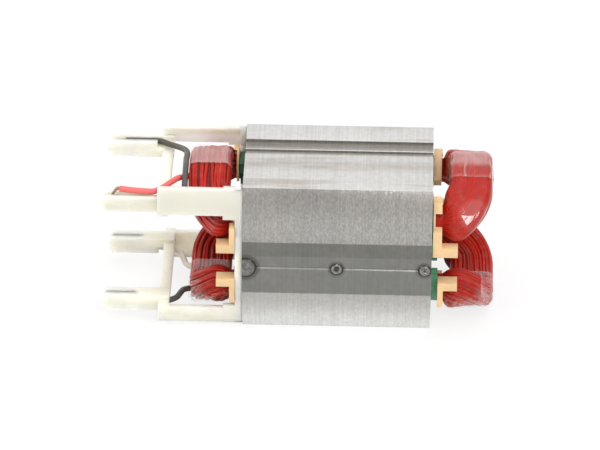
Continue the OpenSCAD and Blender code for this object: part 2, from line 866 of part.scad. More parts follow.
// Ring of a tube at point i of a route, square to the route
function tube_ring(p, i, r) =
    let (
        ahead = p[min(i + 1, len(p) - 1)] - p[max(i - 1, 0)],
        along = ahead / norm(ahead),
        across = cross(along, [0, 0, 1]),
        side = across / norm(across),
        up = cross(side, along)
    )
    [
        for (k = [0 : lead_sides - 1])
            let (a = 360 * (k + 0.5) / lead_sides)
            p[i] + r * (cos(a) * side + sin(a) * up)
    ];

module tube(p, r) {
    count = len(p);
    rings = [for (i = [0 : count - 1]) each tube_ring(p, i, r)];
    walls = [
        for (i = [0 : count - 2])
            each band(lead_sides * (i + 1), lead_sides * i, lead_sides)
    ];
    start = [for (k = [lead_sides - 1 : -1 : 0]) k];
    end = [for (k = [0 : lead_sides - 1]) lead_sides * (count - 1) + k];
    polyhedron(rings, concat(walls, [start], [end]), convexity = 6);
}

// A sleeved lead whose bare conductor dips towards the contact
module lead(route) {
    tip = route[len(route) - 1];
    dip = tip[2] - contact_top - conductor_d / 2 - seat_gap;
    bare = [for (share = BARE_SHARES) tip - [bare_l * share[0], 0, dip * share[1]]];
    tube(smoothed(route), lead_r);
    tube(bare, conductor_d / 2);
}

module lead_upper_front() {
    color(RED)
        lead(ROUTE_UPPER_FRONT);
}

module lead_upper_back() {
    color(BLACK)
        lead(ROUTE_UPPER_BACK);
}

module lead_lower_front() {
    color(BLACK)
        mirror([0, 0, 1])
            lead(ROUTE_LOWER_FRONT);
}

module lead_lower_back() {
    color(IVORY)
        mirror([0, 0, 1])
            lead(ROUTE_LOWER_BACK);
}

// Flat contact with a forked tip, in the slot of a post
module contact(y_side, z_side) {
    fork_w = contact_h / 4;
    fork_l = contact_l * 0.6;
    color(BRASS)
        to_corner(y_side, z_side)
            translate([-contact_x, post_y + contact_t / 2, contact_top])
                rotate([90, 0, 0])
                    linear_extrude(contact_t)
                        difference() {
                            translate([0, -contact_h])
                                square([contact_l, contact_h]);
                            translate([-cut_over, -contact_h / 2 - fork_w / 2])
                                square([fork_l + cut_over, fork_w]);
                        }
}

module contact_upper_front() { contact(FRONT, UP); }
module contact_upper_back() { contact(BACK, UP); }
module contact_lower_front() { contact(FRONT, DOWN); }
module contact_lower_back() { contact(BACK, DOWN); }

stator_core();
side_welds();
liner_upper_front();
liner_upper_back();
liner_lower_front();
liner_lower_back();
upper_coil();
lower_coil();
block_left_upper_front();
block_left_upper_back();
block_left_lower_front();
block_left_lower_back();
block_right_upper_front();
block_right_upper_back();
block_right_lower_front();
block_right_lower_back();
tape_left_upper();
tape_left_lower();
tape_right_upper();
tape_right_lower();
terminal_frame();
lead_upper_front();
lead_upper_back();
lead_lower_front();
lead_lower_back();
contact_upper_front();
contact_upper_back();
contact_lower_front();
contact_lower_back();
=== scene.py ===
"""Looks of a power tool field coil: a laminated stator, two saddle coils and a terminal frame."""

import logging
import math
from contextlib import contextmanager
from dataclasses import dataclass
from enum import Enum
from functools import cache, reduce
from itertools import product
from typing import Any, Iterator, NamedTuple, Sequence

import bpy
import numpy as np
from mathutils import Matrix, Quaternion, Vector, noise


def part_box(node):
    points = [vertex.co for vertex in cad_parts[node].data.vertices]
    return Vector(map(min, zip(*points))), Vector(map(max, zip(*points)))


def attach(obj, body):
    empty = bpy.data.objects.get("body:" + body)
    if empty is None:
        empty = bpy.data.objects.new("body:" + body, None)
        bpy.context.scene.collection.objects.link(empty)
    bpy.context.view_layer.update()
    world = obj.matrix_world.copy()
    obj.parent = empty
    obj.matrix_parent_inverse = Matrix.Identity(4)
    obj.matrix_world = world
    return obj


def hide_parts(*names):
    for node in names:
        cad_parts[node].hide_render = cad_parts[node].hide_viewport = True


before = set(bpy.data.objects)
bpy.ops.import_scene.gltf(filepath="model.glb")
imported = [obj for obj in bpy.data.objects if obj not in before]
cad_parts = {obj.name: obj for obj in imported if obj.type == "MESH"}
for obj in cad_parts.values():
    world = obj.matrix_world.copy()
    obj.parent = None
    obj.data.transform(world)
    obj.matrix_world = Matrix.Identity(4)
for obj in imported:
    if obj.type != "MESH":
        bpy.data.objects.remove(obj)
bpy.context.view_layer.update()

LOG = logging.getLogger("field_coil")
MM = 0.001
BODY = "root"

Colour = tuple[float, float, float]
Point = tuple[float, float, float]
Range = tuple[float, float]
Socket = bpy.types.NodeSocket
Piece = bpy.types.Object

WHITE: Colour = (1.0, 1.0, 1.0)
UNIT: Range = (0.0, 1.0)
NOISE_RANGE: Range = (0.3, 0.7)
# Detail and roughness of the noise in grain and in soil.
GRAIN_NOISE = (4.0, 0.6)
SOIL_NOISE = (5.0, 0.65)
SOIL_RANGE: Range = (0.48, 0.75)
SHEET_GAP = 0.16
WELD_FLAT_Y_MM = 28.2


class End(Enum):
    """End of the stack: the terminals are at the left and the free end is at the right."""

    LEFT = -1
    RIGHT = 1


class Level(Enum):
    """Half of the stator above or below its middle plane."""

    UPPER = 1
    LOWER = -1


class Depth(Enum):
    """Half of the stator in front of or behind its middle plane."""

    FRONT = -1
    BACK = 1


class WeldSpot(NamedTuple):
    """Weld on each side flat: its place, radius and dark halo in millimetres, its crater's share
    of the radius, and its dullness."""

    x: float
    radius: float
    halo_r: float
    crater: float
    dullness: float


WELD_SPOTS = (
    WeldSpot(0.0, 2.2, 2.3, 0.5, 0.0),
    WeldSpot(29.2, 2.2, 2.3, 0.3, 0.2),
    WeldSpot(-30.3, 3.8, 4.3, 0.0, 0.36),
)


class Texture(NamedTuple):
    """Noise on a surface: its scale per metre, detail, roughness and stretch along each axis."""

    scale: float
    detail: float = 3.0
    rough: float = 0.5
    stretch: Point = (1.0, 1.0, 1.0)


class Grain(NamedTuple):
    """Cloudy grain: its scale per metre and the values that it runs between."""

    scale: float
    low: float
    high: float


class Soil(NamedTuple):
    """Handling soil: its scale per metre and its amount."""

    scale: float
    amount: float


def corner_name(stem: str, *places: Enum) -> str:
    """Name of the node of a piece at a place, such as lead_upper_front."""
    return "_".join([stem, *(place.name.lower() for place in places)])


def ramp(values: np.ndarray, start: Any, end: Any) -> np.ndarray:
    """Share of the way from a start to an end, held between 0 and 1."""
    return np.clip((values - start) / (end - start), 0, 1)


class Effect(Enum):
    """Surface effects, each a node group that finishes place with their own values."""

    GRAIN = "surface grain"
    SHEETS = "lamination edges"
    SPOT = "round spot"
    SOIL = "handling soil"


EFFECT_SOCKETS = {
    Effect.GRAIN: (("Vector", "Scale", "Low", "High"), ("Value",)),
    Effect.SHEETS: (("Vector", "Pitch"), ("Tone", "Height")),
    Effect.SPOT: (("Vector", "Centre", "Radius", "Edge"), ("Mask",)),
    Effect.SOIL: (("Vector", "Scale", "Amount"), ("Mask",)),
}
VECTOR_SOCKETS = ("Vector", "Centre")


class Net:
    """Node tree of a material or a group, with one short call for each kind of node."""

    def __init__(self, tree: bpy.types.NodeTree) -> None:
        """Keep the tree that the nodes go in."""
        self.tree = tree

    def node(self, kind: str, feeds: dict[Any, Any] | None = None, **settings: Any) -> bpy.types.Node:
        """Add a node.

        Args:
            kind: Blender's name of the node type.
            feeds: Sockets or plain values for the node's inputs, by input name or number.
            settings: Values for the node's own properties.

        Returns:
            The new node.
        """
        made = self.tree.nodes.new(kind)
        for key, value in settings.items():
            setattr(made, key, value)
        for key, value in (feeds or {}).items():
            self.feed(made.inputs[key], value)
        return made

    def feed(self, socket: Socket, value: Any) -> None:
        """Link a socket to an input, or set the input to a plain value.

        Args:
            socket: The input.
            value: The socket or the plain value.
        """
        if isinstance(value, Socket):
            self.tree.links.new(value, socket)
        elif isinstance(value, (tuple, list)) and socket.type == "RGBA":
            socket.default_value = (*value[:3], 1.0)
        else:
            socket.default_value = value

    def math(self, operation: str, *values: Any, clamp: bool = False) -> Socket:
        """Output of a Math node."""
        feeds = dict(enumerate(values))
        return self.node("ShaderNodeMath", feeds, operation=operation, use_clamp=clamp).outputs[0]

    def times(self, *values: Any) -> Socket:
        """Product of values."""
        return reduce(lambda product_so_far, value: self.math("MULTIPLY", product_so_far, value), values)

    def mix(self, factor: Any, low: Any, high: Any, blend: str = "MIX") -> Socket:
        """Blend two colours.

        Args:
            factor: Share of the second colour.
            low: The first colour.
            high: The second colour.
            blend: Blender's name of the way they are blended.

        Returns:
            The blended colour.
        """
        made = self.node("ShaderNodeMix", data_type="RGBA", blend_type=blend, clamp_factor=True)
        for key, value in (("Factor_Float", factor), ("A_Color", low), ("B_Color", high)):
            self.feed(next(s for s in made.inputs if s.identifier == key), value)
        return next(s for s in made.outputs if s.identifier == "Result_Color")

    def joined_axes(self, x: Socket, y: Socket, z: Socket) -> Socket:
        """Vector of three values."""
        return self.node("ShaderNodeCombineXYZ", {0: x, 1: y, 2: z}).outputs[0]

    def shade(self, colour: Socket, value: Socket) -> Socket:
        """Colour multiplied by a value."""
        return self.mix(1.0, colour, self.joined_axes(value, value, value), "MULTIPLY")

    def span(self, value: Any, ends: Sequence[Any], to: Sequence[Any] = UNIT) -> Socket:
        """Move a value smoothly from one range to another.

        Args:
            value: The value.
            ends: The ends of the range that it comes from.
            to: The values that it has at those ends.

        Returns:
            The new value.
        """
        names = ("Value", "From Min", "From Max", "To Min", "To Max")
        feeds = dict(zip(names, (value, *ends, *to)))
        return self.node("ShaderNodeMapRange", feeds, interpolation_type="SMOOTHSTEP").outputs["Result"]

    def rise(self, place: Socket, ends_mm: Range, to: Range = UNIT) -> Socket:
        """Value that changes over a range of a place, from 0 to 1 unless told otherwise."""
        return self.span(place, [end * MM for end in ends_mm], to)

    def fall(self, place: Socket, ends_mm: Range, start: float = 1.0) -> Socket:
        """Value that fades to 0 over a range of a place."""
        return self.rise(place, ends_mm, (start, 0.0))

    def noise(self, vector: Socket, scale: Any, detail: float, rough: float) -> Socket:
        """Value of a noise texture."""
        feeds = {"Vector": vector, "Scale": scale, "Detail": detail, "Roughness": rough}
        return self.node("ShaderNodeTexNoise", feeds).outputs["Fac"]

    def texture(self, place: Socket, kind: Texture) -> Socket:
        """Value of a stretched noise."""
        mapped = self.node("ShaderNodeMapping", {"Vector": place, "Scale": kind.stretch})
        return self.noise(mapped.outputs["Vector"], kind.scale, kind.detail, kind.rough)

    def place(self) -> Socket:
        """Place on the piece, in metres of the shared frame."""
        return self.node("ShaderNodeTexCoord").outputs["Object"]

    def axes(self, vector: Socket) -> tuple[Socket, ...]:
        """The X, Y and Z of a vector."""
        return tuple(self.node("ShaderNodeSeparateXYZ", {"Vector": vector}).outputs)

    def attribute(self, name: str) -> Socket:
        """Number that a piece keeps for each vertex."""
        return self.node("ShaderNodeAttribute", attribute_name=name).outputs["Fac"]

    def bump(self, height: Socket, depth_mm: float, strength: float = 1.0) -> Socket:
        """Normal of a height map."""
        feeds = {"Height": height, "Distance": depth_mm * MM, "Strength": strength}
        return self.node("ShaderNodeBump", feeds).outputs["Normal"]

    def group(self, kind: Effect, **feeds: Any) -> dict[str, Socket]:
        """Place a surface effect.

        Args:
            kind: The effect.
            feeds: Sockets or plain values for its inputs, by input name in small letters.

        Returns:
            Its outputs by name.
        """
        made = self.node("ShaderNodeGroup")
        made.node_tree = effect_tree(kind)
        for key, value in feeds.items():
            self.feed(made.inputs[key.title()], value)
        return dict(made.outputs.items())

    def grain(self, place: Socket, kind: Grain) -> Socket:
        """Value of a cloudy grain."""
        return self.group(Effect.GRAIN, vector=place, **kind._asdict())["Value"]

    def soil(self, place: Socket, kind: Soil) -> Socket:
        """Mask of handling soil."""
        return self.group(Effect.SOIL, vector=place, **kind._asdict())["Mask"]

    def spot(self, place: Socket, centre_mm: Point, radius_mm: float, edge_mm: float) -> Socket:
        """Place a round spot with a soft edge outside its radius.

        Args:
            place: Place on the piece.
            centre_mm: Middle of the spot.
            radius_mm: Its radius.
            edge_mm: Width of its soft edge.

        Returns:
            The mask of the spot.
        """
        centre = tuple(c * MM for c in centre_mm)
        sizes = {"radius": radius_mm * MM, "edge": edge_mm * MM}
        return self.group(Effect.SPOT, vector=place, centre=centre, **sizes)["Mask"]


@cache
def effect_tree(kind: Effect) -> bpy.types.NodeTree:
    """Build the node group of a surface effect once.

    Args:
        kind: The effect.

    Returns:
        The group's node tree.
    """
    tree = bpy.data.node_groups.new(kind.value, "ShaderNodeTree")
    takes, gives = EFFECT_SOCKETS[kind]
    for name in takes:
        sort = "NodeSocketVector" if name in VECTOR_SOCKETS else "NodeSocketFloat"
        tree.interface.new_socket(name, in_out="INPUT", socket_type=sort)
    for name in gives:
        tree.interface.new_socket(name, in_out="OUTPUT", socket_type="NodeSocketFloat")
    net = Net(tree)
    into = net.node("NodeGroupInput").outputs
    out = net.node("NodeGroupOutput").inputs
    vector = into["Vector"]
    if kind is Effect.GRAIN:
        value = net.noise(vector, into["Scale"], *GRAIN_NOISE)
        net.feed(out["Value"], net.span(value, NOISE_RANGE, (into["Low"], into["High"])))
    elif kind is Effect.SHEETS:
        along = net.math("DIVIDE", net.axes(vector)[0], into["Pitch"])
        sheet = {"W": net.math("FLOOR", along)}
        tone = net.node("ShaderNodeTexWhiteNoise", sheet, noise_dimensions="1D").outputs["Value"]
        net.feed(out["Tone"], tone)
        net.feed(out["Height"], net.span(net.math("PINGPONG", along, 0.5), (0.0, SHEET_GAP)))
    elif kind is Effect.SPOT:
        ends = {0: vector, 1: into["Centre"]}
        away = net.node("ShaderNodeVectorMath", ends, operation="DISTANCE").outputs["Value"]
        outer = net.math("ADD", into["Radius"], into["Edge"])
        net.feed(out["Mask"], net.span(away, (into["Radius"], outer), (1.0, 0.0)))
    else:
        cloud = net.noise(vector, into["Scale"], *SOIL_NOISE)
        net.feed(out["Mask"], net.times(net.span(cloud, SOIL_RANGE), into["Amount"]))
    return tree


@dataclass(frozen=True)
class Finish:
    """Finish of a surface: its record slot, its plain shader values and its painted detail."""

    name: str
    slot: str
    colour: Colour
    roughness: float = 0.5
    metallic: float = 0.0
    coat: float = 0.0
    coat_roughness: float = 0.05
    specular: float = 0.5
    subsurface: float = 0.0
    subsurface_radius_mm: float = 1.0
    subsurface_spread: Colour = (1.0, 0.96, 0.86)

    def material(self) -> bpy.types.Material:
        """Make the material.

        Returns:
            A material whose Principled shader holds the plain values and whose nodes hold the detail.
        """
        made = bpy.data.materials.new(self.name)
        made.use_nodes = True
        net = Net(made.node_tree)
        shader = made.node_tree.nodes["Principled BSDF"]
        plain = {
            "Base Color": self.colour,
            "Roughness": self.roughness,
            "Metallic": self.metallic,
            "Coat Weight": self.coat,
            "Coat Roughness": self.coat_roughness,
            "Specular IOR Level": self.specular,
            "Subsurface Weight": self.subsurface,
            "Subsurface Scale": self.subsurface_radius_mm * MM,
            "Subsurface Radius": self.subsurface_spread,
        }
        for key, value in plain.items():
            net.feed(shader.inputs[key], value)
        self.paint(net, shader.inputs)
        return made

    def paint(self, net: Net, shader: Any) -> None:
        """Add the detail of the finish to its shader.

        Args:
            net: Node tree of the material.
            shader: Inputs of its Principled shader, by name.
        """
        raise NotImplementedError

    def tones(self, share: float) -> tuple[Colour, Colour]:
        """A darker and a lighter tone of the finish's colour."""
        dark = tuple(c * (1 - share) for c in self.colour)
        return dark, tuple(min(1.0, c * (1 + share)) for c in self.colour)


@dataclass(frozen=True)
class LaminationFinish(Finish):
    """Punched sheet edges with painted light and shade: bright lit flats, speckled curved sides painted
    darker towards the crown, a foot painted pale as the floor's reflection, and weld flats painted dark.
    """

    pitch_mm: float = 0.5
    flat_z_mm: Range = (26.43, 26.49)
    groove_z_mm: Range = (25.5, 25.7)
    crown_z_mm: Range = (14.0, 26.0)
    curved_z_mm: Range = (9.45, 9.95)
    weld_step_z_mm: Range = (4.2, 4.6)
    weld_line_z_mm: Range = (0.2, 0.5)
    middle_z_mm: Range = (-2.0, 2.0)
    speck_z_mm: Range = (-10.0, 0.0)
    foot_z_mm: Range = (-26.5, -9.7)
    bore_y_mm: Range = (16.0, 20.0)
    groove_split_y_mm: Range = (4.2, 4.6)
    rib_start_y_mm: Range = (4.7, 5.1)
    rib_end_y_mm: Range = (6.2, 6.6)
    stain_y_mm: float = -5.5
    stain_half_mm: float = 7.5
    halo_edge_mm: float = 1.1
    bump_mm: float = 0.006
    bump_strength: float = 0.5
    side_tone: Colour = (0.34, 0.33, 0.31)
    crown_tone: Colour = (0.205, 0.196, 0.183)
    low_side_tone: Colour = (0.42, 0.41, 0.385)
    foot_tone: Colour = (0.75, 0.75, 0.73)
    weld_tone: Colour = (0.19, 0.19, 0.175)
    step_tone: Colour = (0.155, 0.155, 0.14)
    line_tone: Colour = (0.42, 0.42, 0.40)
    groove_tone: Colour = (0.30, 0.28, 0.25)
    front_groove_tone: Colour = (0.56, 0.53, 0.48)
    rib_tone: Colour = (0.25, 0.233, 0.205)
    stain_tone: Colour = (0.37, 0.32, 0.28)
    heat_tone: Colour = (0.085, 0.078, 0.062)
    line_share: float = 0.2
    rib_share: float = 0.85
    stain_share: float = 0.75
    halo_share: float = 0.8
    speck_shares: Range = (0.06, 0.16)
    streak_shares: Range = (-0.35, 0.6)
    sheet_shades: Range = (0.955, 1.04)
    brush_shades: Range = (0.97, 1.03)
    gap_shades: Range = (0.93, 1.0)
    speck_contrast: Range = (0.34, 0.68)
    streak_contrast: Range = (0.46, 0.72)
    specks: Texture = Texture(1900.0, 2.0, 0.7, (1.0, 0.5, 0.5))
    brushing: Texture = Texture(2600.0, 2.0, 0.5, (1.0, 0.05, 0.05))
    streaks: Texture = Texture(150.0, 4.0, 0.6, (0.12, 1.0, 1.0))
    clouds: Grain = Grain(520.0, 0.95, 1.05)
    satin: Grain = Grain(900.0, 0.30, 0.50)
    handling: Soil = Soil(60.0, 0.18)

    def paint(self, net: Net, shader: Any) -> None:
        """Blend the zones of the stack and bump its sheets.

        Args:
            net: Node tree of the material.
            shader: Inputs of its Principled shader, by name.
        """
        place = net.place()
        x, y, z = net.axes(place)
        up, out = net.math("ABSOLUTE", z), net.math("ABSOLUTE", y)
        specks = net.texture(place, self.specks)
        sheets = net.group(Effect.SHEETS, vector=place, pitch=self.pitch_mm * MM)

        # Painted light and shade: the flats, curved sides, foot and weld flats each take the tone of how
        # they are lit.
        curved = net.rise(up, self.curved_z_mm)
        sides = net.mix(curved, self.weld_flat(net, up, z), self.curved_side(net, z, specks))
        colour = net.mix(net.rise(up, self.flat_z_mm), sides, self.flat(net, place, y))
        # Painted shade on the sunk groove floors: darker behind their split, lighter in front.
        sunk = net.times(net.fall(up, self.groove_z_mm), net.fall(out, self.bore_y_mm))
        behind = net.rise(y, self.groove_split_y_mm)
        colour = net.mix(sunk, colour, net.mix(behind, self.front_groove_tone, self.groove_tone))
        shades = net.times(
            net.span(sheets["Tone"], UNIT, self.sheet_shades),
            net.grain(place, self.clouds),
            net.span(net.texture(place, self.brushing), NOISE_RANGE, self.brush_shades),
            net.span(sheets["Height"], UNIT, self.gap_shades),
        )
        colour = net.shade(colour, shades)
        mirrored = net.joined_axes(x, out, z)
        for weld in WELD_SPOTS:
            halo = net.spot(mirrored, (weld.x, WELD_FLAT_Y_MM, 0.0), weld.halo_r, self.halo_edge_mm)
            colour = net.mix(net.times(halo, self.halo_share), colour, self.heat_tone)
        soiled = net.mix(net.soil(place, self.handling), colour, self.stain_tone)
        net.feed(shader["Base Color"], soiled)
        net.feed(shader["Roughness"], net.grain(place, self.satin))
        height = net.math("ADD", sheets["Height"], net.times(specks, curved))
        net.feed(shader["Normal"], net.bump(height, self.bump_mm, self.bump_strength))

    def weld_flat(self, net: Net, up: Socket, z: Socket) -> Socket:
        """Colour of the weld flats in painted shade, darker in their upper part as a painted shadow of
        the lip, with a faint line along their middle.
        """
        steps = net.mix(net.rise(z, self.weld_step_z_mm), self.weld_tone, self.step_tone)
        return net.mix(net.fall(up, self.weld_line_z_mm, self.line_share), steps, self.line_tone)

    def curved_side(self, net: Net, z: Socket, specks: Socket) -> Socket:
        """Colour of the curved sides.

        Args:
            net: Node tree of the material.
            z: Height on the stack.
            specks: Noise of the specks.

        Returns:
            A colour painted palest at the foot as the floor's reflection and darkest at the crown as
            shade, with stronger specks above.
        """
        lower = net.mix(net.fall(z, self.foot_z_mm), self.low_side_tone, self.foot_tone)
        upper = net.mix(net.rise(z, self.crown_z_mm), self.side_tone, self.crown_tone)
        plain = net.mix(net.rise(z, self.middle_z_mm), lower, upper)
        share = net.rise(z, self.speck_z_mm, self.speck_shares)
        shades = (net.math("SUBTRACT", 1.0, share), net.math("ADD", 1.0, share))
        return net.shade(plain, net.span(specks, self.speck_contrast, shades))

    def flat(self, net: Net, place: Socket, y: Socket) -> Socket:
        """Colour of the flats.

        Args:
            net: Node tree of the material.
            place: Place on the stack.
            y: Its depth.

        Returns:
            A colour painted bright as lit from above, with a stained band, streaks along the stack and a
            darker band along the rib.
        """
        from_stain = net.math("ABSOLUTE", net.math("SUBTRACT", y, self.stain_y_mm * MM))
        band = net.fall(from_stain, (0.0, self.stain_half_mm), self.stain_share)
        streaks = net.span(net.texture(place, self.streaks), self.streak_contrast, self.streak_shares)
        stained = net.mix(net.math("ADD", band, streaks, clamp=True), self.colour, self.stain_tone)
        rib = net.times(net.rise(y, self.rib_start_y_mm), net.fall(y, self.rib_end_y_mm, self.rib_share))
        return net.mix(rib, stained, self.rib_tone)


@dataclass(frozen=True)
class WeldFinish(Finish):
    """Fused metal with a dark rim, a dark crater and bright ripples."""

    rim_tone: Colour = (0.05, 0.048, 0.042)
    crater_share: float = 0.9
    patches: Grain = Grain(800.0, 0.35, 1.0)
    gloss: Grain = Grain(1100.0, 0.08, 0.24)
    ripples: Texture = Texture(900.0, 2.0)
    ripple_mm: float = 0.2

    def paint(self, net: Net, shader: Any) -> None:
        """Darken the rim and the crater, and ripple the metal.

        Args:
            net: Node tree of the material.
            shader: Inputs of its Principled shader, by name.
        """
        place = net.place()
        crater = net.times(net.attribute("crater"), self.crater_share)
        dark = net.math("MAXIMUM", net.attribute("rim"), crater)
        bright = net.mix(net.grain(place, self.patches), self.rim_tone, self.colour)
        net.feed(shader["Base Color"], net.mix(dark, bright, self.rim_tone))
        net.feed(shader["Roughness"], net.grain(place, self.gloss))
        net.feed(shader["Normal"], net.bump(net.texture(place, self.ripples), self.ripple_mm))


@dataclass(frozen=True)
class EnamelFinish(Finish):
    """Red wire enamel under brushed varnish, each strand with its own tone, with painted shade in the
    gaps between strands and, on the lower wires, dust and a painted sheen of the floor.
    """

    gap_tone: Colour = (0.12, 0.008, 0.006)
    dusty_tone: Colour = (0.74, 0.40, 0.33)
    soil_tone: Colour = (0.30, 0.16, 0.12)
    strand_share: float = 0.22
    cloud_share: float = 0.4
    dusty_z_mm: Range = (-18.0, -11.0)
    dusty_y_mm: Range = (13.0, 16.0)
    dusty_share: float = 0.75
    dusty_contrast: Range = (0.42, 0.66)
    dust: Texture = Texture(1100.0, 3.0, 0.6, (0.2, 1.0, 1.0))
    clouds: Grain = Grain(170.0, 0.0, 0.35)
    satin: Grain = Grain(260.0, 0.26, 0.46)
    brushed_coat: Grain = Grain(210.0, 0.05, 0.3)
    handling: Soil = Soil(240.0, 0.25)
    ripples: Texture = Texture(700.0)
    ripple_mm: float = 0.08
    ripple_strength: float = 0.35
    varnished_ripple: float = 0.15
    runs_mm: tuple[Point, ...] = (
        (45.5, -20.0, 16.5),
        (-45.0, -21.0, 13.0),
        (46.0, -18.0, -17.0),
        (-46.0, -17.0, -17.0),
    )
    run_r_mm: float = 4.5
    run_edge_mm: float = 2.5

    def paint(self, net: Net, shader: Any) -> None:
        """Vary the strands and the varnish on them.

        Args:
            net: Node tree of the material.
            shader: Inputs of its Principled shader, by name.
        """
        place = net.place()
        _, y, z = net.axes(place)
        varnish = net.attribute("varnish")
        colour = net.mix(net.attribute("strand"), *self.tones(self.strand_share))
        colour = net.mix(net.grain(place, self.clouds), colour, self.tones(self.cloud_share)[0])
        # Pale streaks on the lower outer wires: dust and a painted sheen of the floor.
        dust = net.times(
            net.span(net.texture(place, self.dust), self.dusty_contrast),
            net.fall(z, self.dusty_z_mm, self.dusty_share),
            net.rise(net.math("ABSOLUTE", y), self.dusty_y_mm),
        )
        colour = net.mix(dust, colour, self.dusty_tone)
        # Painted shade in the gaps between strands, from the depth that each vertex keeps.
        colour = net.mix(net.attribute("depth"), colour, self.gap_tone)
        soiled = net.mix(net.soil(place, self.handling), colour, self.soil_tone)
        net.feed(shader["Base Color"], soiled)
        net.feed(shader["Roughness"], net.grain(place, self.satin))
        coat = net.math("MAXIMUM", net.grain(place, self.brushed_coat), net.times(varnish, self.coat))
        for run in self.runs_mm:
            coat = net.math("MAXIMUM", coat, net.spot(place, run, self.run_r_mm, self.run_edge_mm))
        net.feed(shader["Coat Weight"], coat)
        depth = net.span(varnish, UNIT, (1.0, self.varnished_ripple))
        ripple = net.times(net.texture(place, self.ripples), depth)
        net.feed(shader["Normal"], net.bump(ripple, self.ripple_mm, self.ripple_strength))


@dataclass(frozen=True)
class TapeFinish(Finish):
    """Clear film that has turned milky where it lifts off the wires, with a painted sheen where it faces
    up and painted highlights on its creases and edges.
    """

    clear: float = 0.03
    milky: float = 0.24
    clear_shade: float = 0.12
    cloud_share: float = 0.12
    clouds: Grain = Grain(230.0, 0.0, 1.0)
    gloss: Range = (0.14, 0.34)
    wrinkles: Texture = Texture(420.0)
    wrinkle_mm: float = 0.1
    wrinkle_strength: float = 0.5

    def paint(self, net: Net, shader: Any) -> None:
        """Vary how much of the wires the film lets through.

        Args:
            net: Node tree of the material.
            shader: Inputs of its Principled shader, by name.
        """
        place = net.place()
        clouds = net.grain(place, self.clouds)
        veil = net.math("MAXIMUM", net.attribute("lift"), net.times(clouds, self.cloud_share))
        net.feed(shader["Alpha"], net.span(veil, UNIT, (self.clear, self.milky)))
        net.feed(shader["Base Color"], net.mix(veil, self.tones(self.clear_shade)[0], self.colour))
        net.feed(shader["Roughness"], net.span(clouds, UNIT, self.gloss))
        wrinkles = net.texture(place, self.wrinkles)
        net.feed(shader["Normal"], net.bump(wrinkles, self.wrinkle_mm, self.wrinkle_strength))


@dataclass(frozen=True)
class PlasticFinish(Finish):
    """Moulded plastic with a fine grain and a little handling soil."""

    soil_tone: Colour = (0.4, 0.3, 0.2)
    handling: Soil = Soil(150.0, 0.15)
    cloud_share: float = 0.07
    clouds: Grain = Grain(110.0, 0.0, 1.0)
    satin_scale: float = 300.0
    satin_half: float = 0.08
    mould: Texture = Texture(1500.0)
    mould_mm: float = 0.03
    mould_strength: float = 0.7

    def paint(self, net: Net, shader: Any) -> None:
        """Grain, cloud and soil the moulding.

        Args:
            net: Node tree of the material.
            shader: Inputs of its Principled shader, by name.
        """
        place = net.place()
        colour = net.mix(net.grain(place, self.clouds), *self.tones(self.cloud_share))
        soiled = net.mix(net.soil(place, self.handling), colour, self.soil_tone)
        net.feed(shader["Base Color"], soiled)
        ends = (self.roughness - self.satin_half, self.roughness + self.satin_half)
        net.feed(shader["Roughness"], net.grain(place, Grain(self.satin_scale, *ends)))
        mould = net.texture(place, self.mould)
        net.feed(shader["Normal"], net.bump(mould, self.mould_mm, self.mould_strength))


@dataclass(frozen=True)
class NylonFinish(PlasticFinish):
    """Natural nylon with painted shade greying its front upper arm and painted light paling its back
    upper arm.
    """

    arm_x_mm: Range = (-33.0, -31.0)
    arm_z_mm: Range = (10.0, 12.0)
    front_y_mm: Range = (-21.8, -20.8)
    back_y_mm: Range = (20.8, 21.8)
    grey_tone: Colour = (0.60, 0.595, 0.52)
    pale_tone: Colour = (0.93, 0.92, 0.87)

    def paint(self, net: Net, shader: Any) -> None:
        """Paint the moulding, then painted shade on the front upper arm and painted light on the back
        one.

        Args:
            net: Node tree of the material.
            shader: Inputs of its Principled shader, by name.
        """
        super().paint(net, shader)
        x, y, z = net.axes(net.place())
        arms = net.times(net.fall(x, self.arm_x_mm), net.rise(z, self.arm_z_mm))
        front = net.times(arms, net.fall(y, self.front_y_mm))
        back = net.times(arms, net.rise(y, self.back_y_mm))
        moulding = shader["Base Color"].links[0].from_socket
        # Painted shade on the front upper arm, painted light on the back upper arm.
        colour = net.mix(front, moulding, self.grey_tone)
        net.feed(shader["Base Color"], net.mix(back, colour, self.pale_tone))


@dataclass(frozen=True)
class PaperFinish(Finish):
    """Insulation paper with fibres along the stack, darker at the terminal end."""

    varnished_x_mm: Range = (-31.0, -30.0)
    varnished_share: float = 0.7
    fibre_share: float = 0.25
    cloud_share: float = 0.35
    fibres: Texture = Texture(2200.0, 4.0, 0.65, (0.1, 1.0, 1.0))
    fibre_contrast: Range = (0.35, 0.65)
    clouds: Grain = Grain(260.0, 0.0, 0.6)
    satin: Range = (0.42, 0.62)
    fibre_mm: float = 0.03
    fibre_strength: float = 0.6

    def paint(self, net: Net, shader: Any) -> None:
        """Draw the fibres and the varnish.

        Args:
            net: Node tree of the material.
            shader: Inputs of its Principled shader, by name.
        """
        place = net.place()
        fibres = net.texture(place, self.fibres)
        colour = net.mix(net.span(fibres, self.fibre_contrast), *self.tones(self.fibre_share))
        colour = net.mix(net.grain(place, self.clouds), colour, self.tones(self.cloud_share)[1])
        # Darker at the terminal end.
        varnish = net.fall(net.axes(place)[0], self.varnished_x_mm)
        net.feed(shader["Base Color"], net.mix(varnish, colour, self.tones(self.varnished_share)[0]))
        net.feed(shader["Roughness"], net.span(fibres, NOISE_RANGE, self.satin))
        net.feed(shader["Normal"], net.bump(fibres, self.fibre_mm, self.fibre_strength))


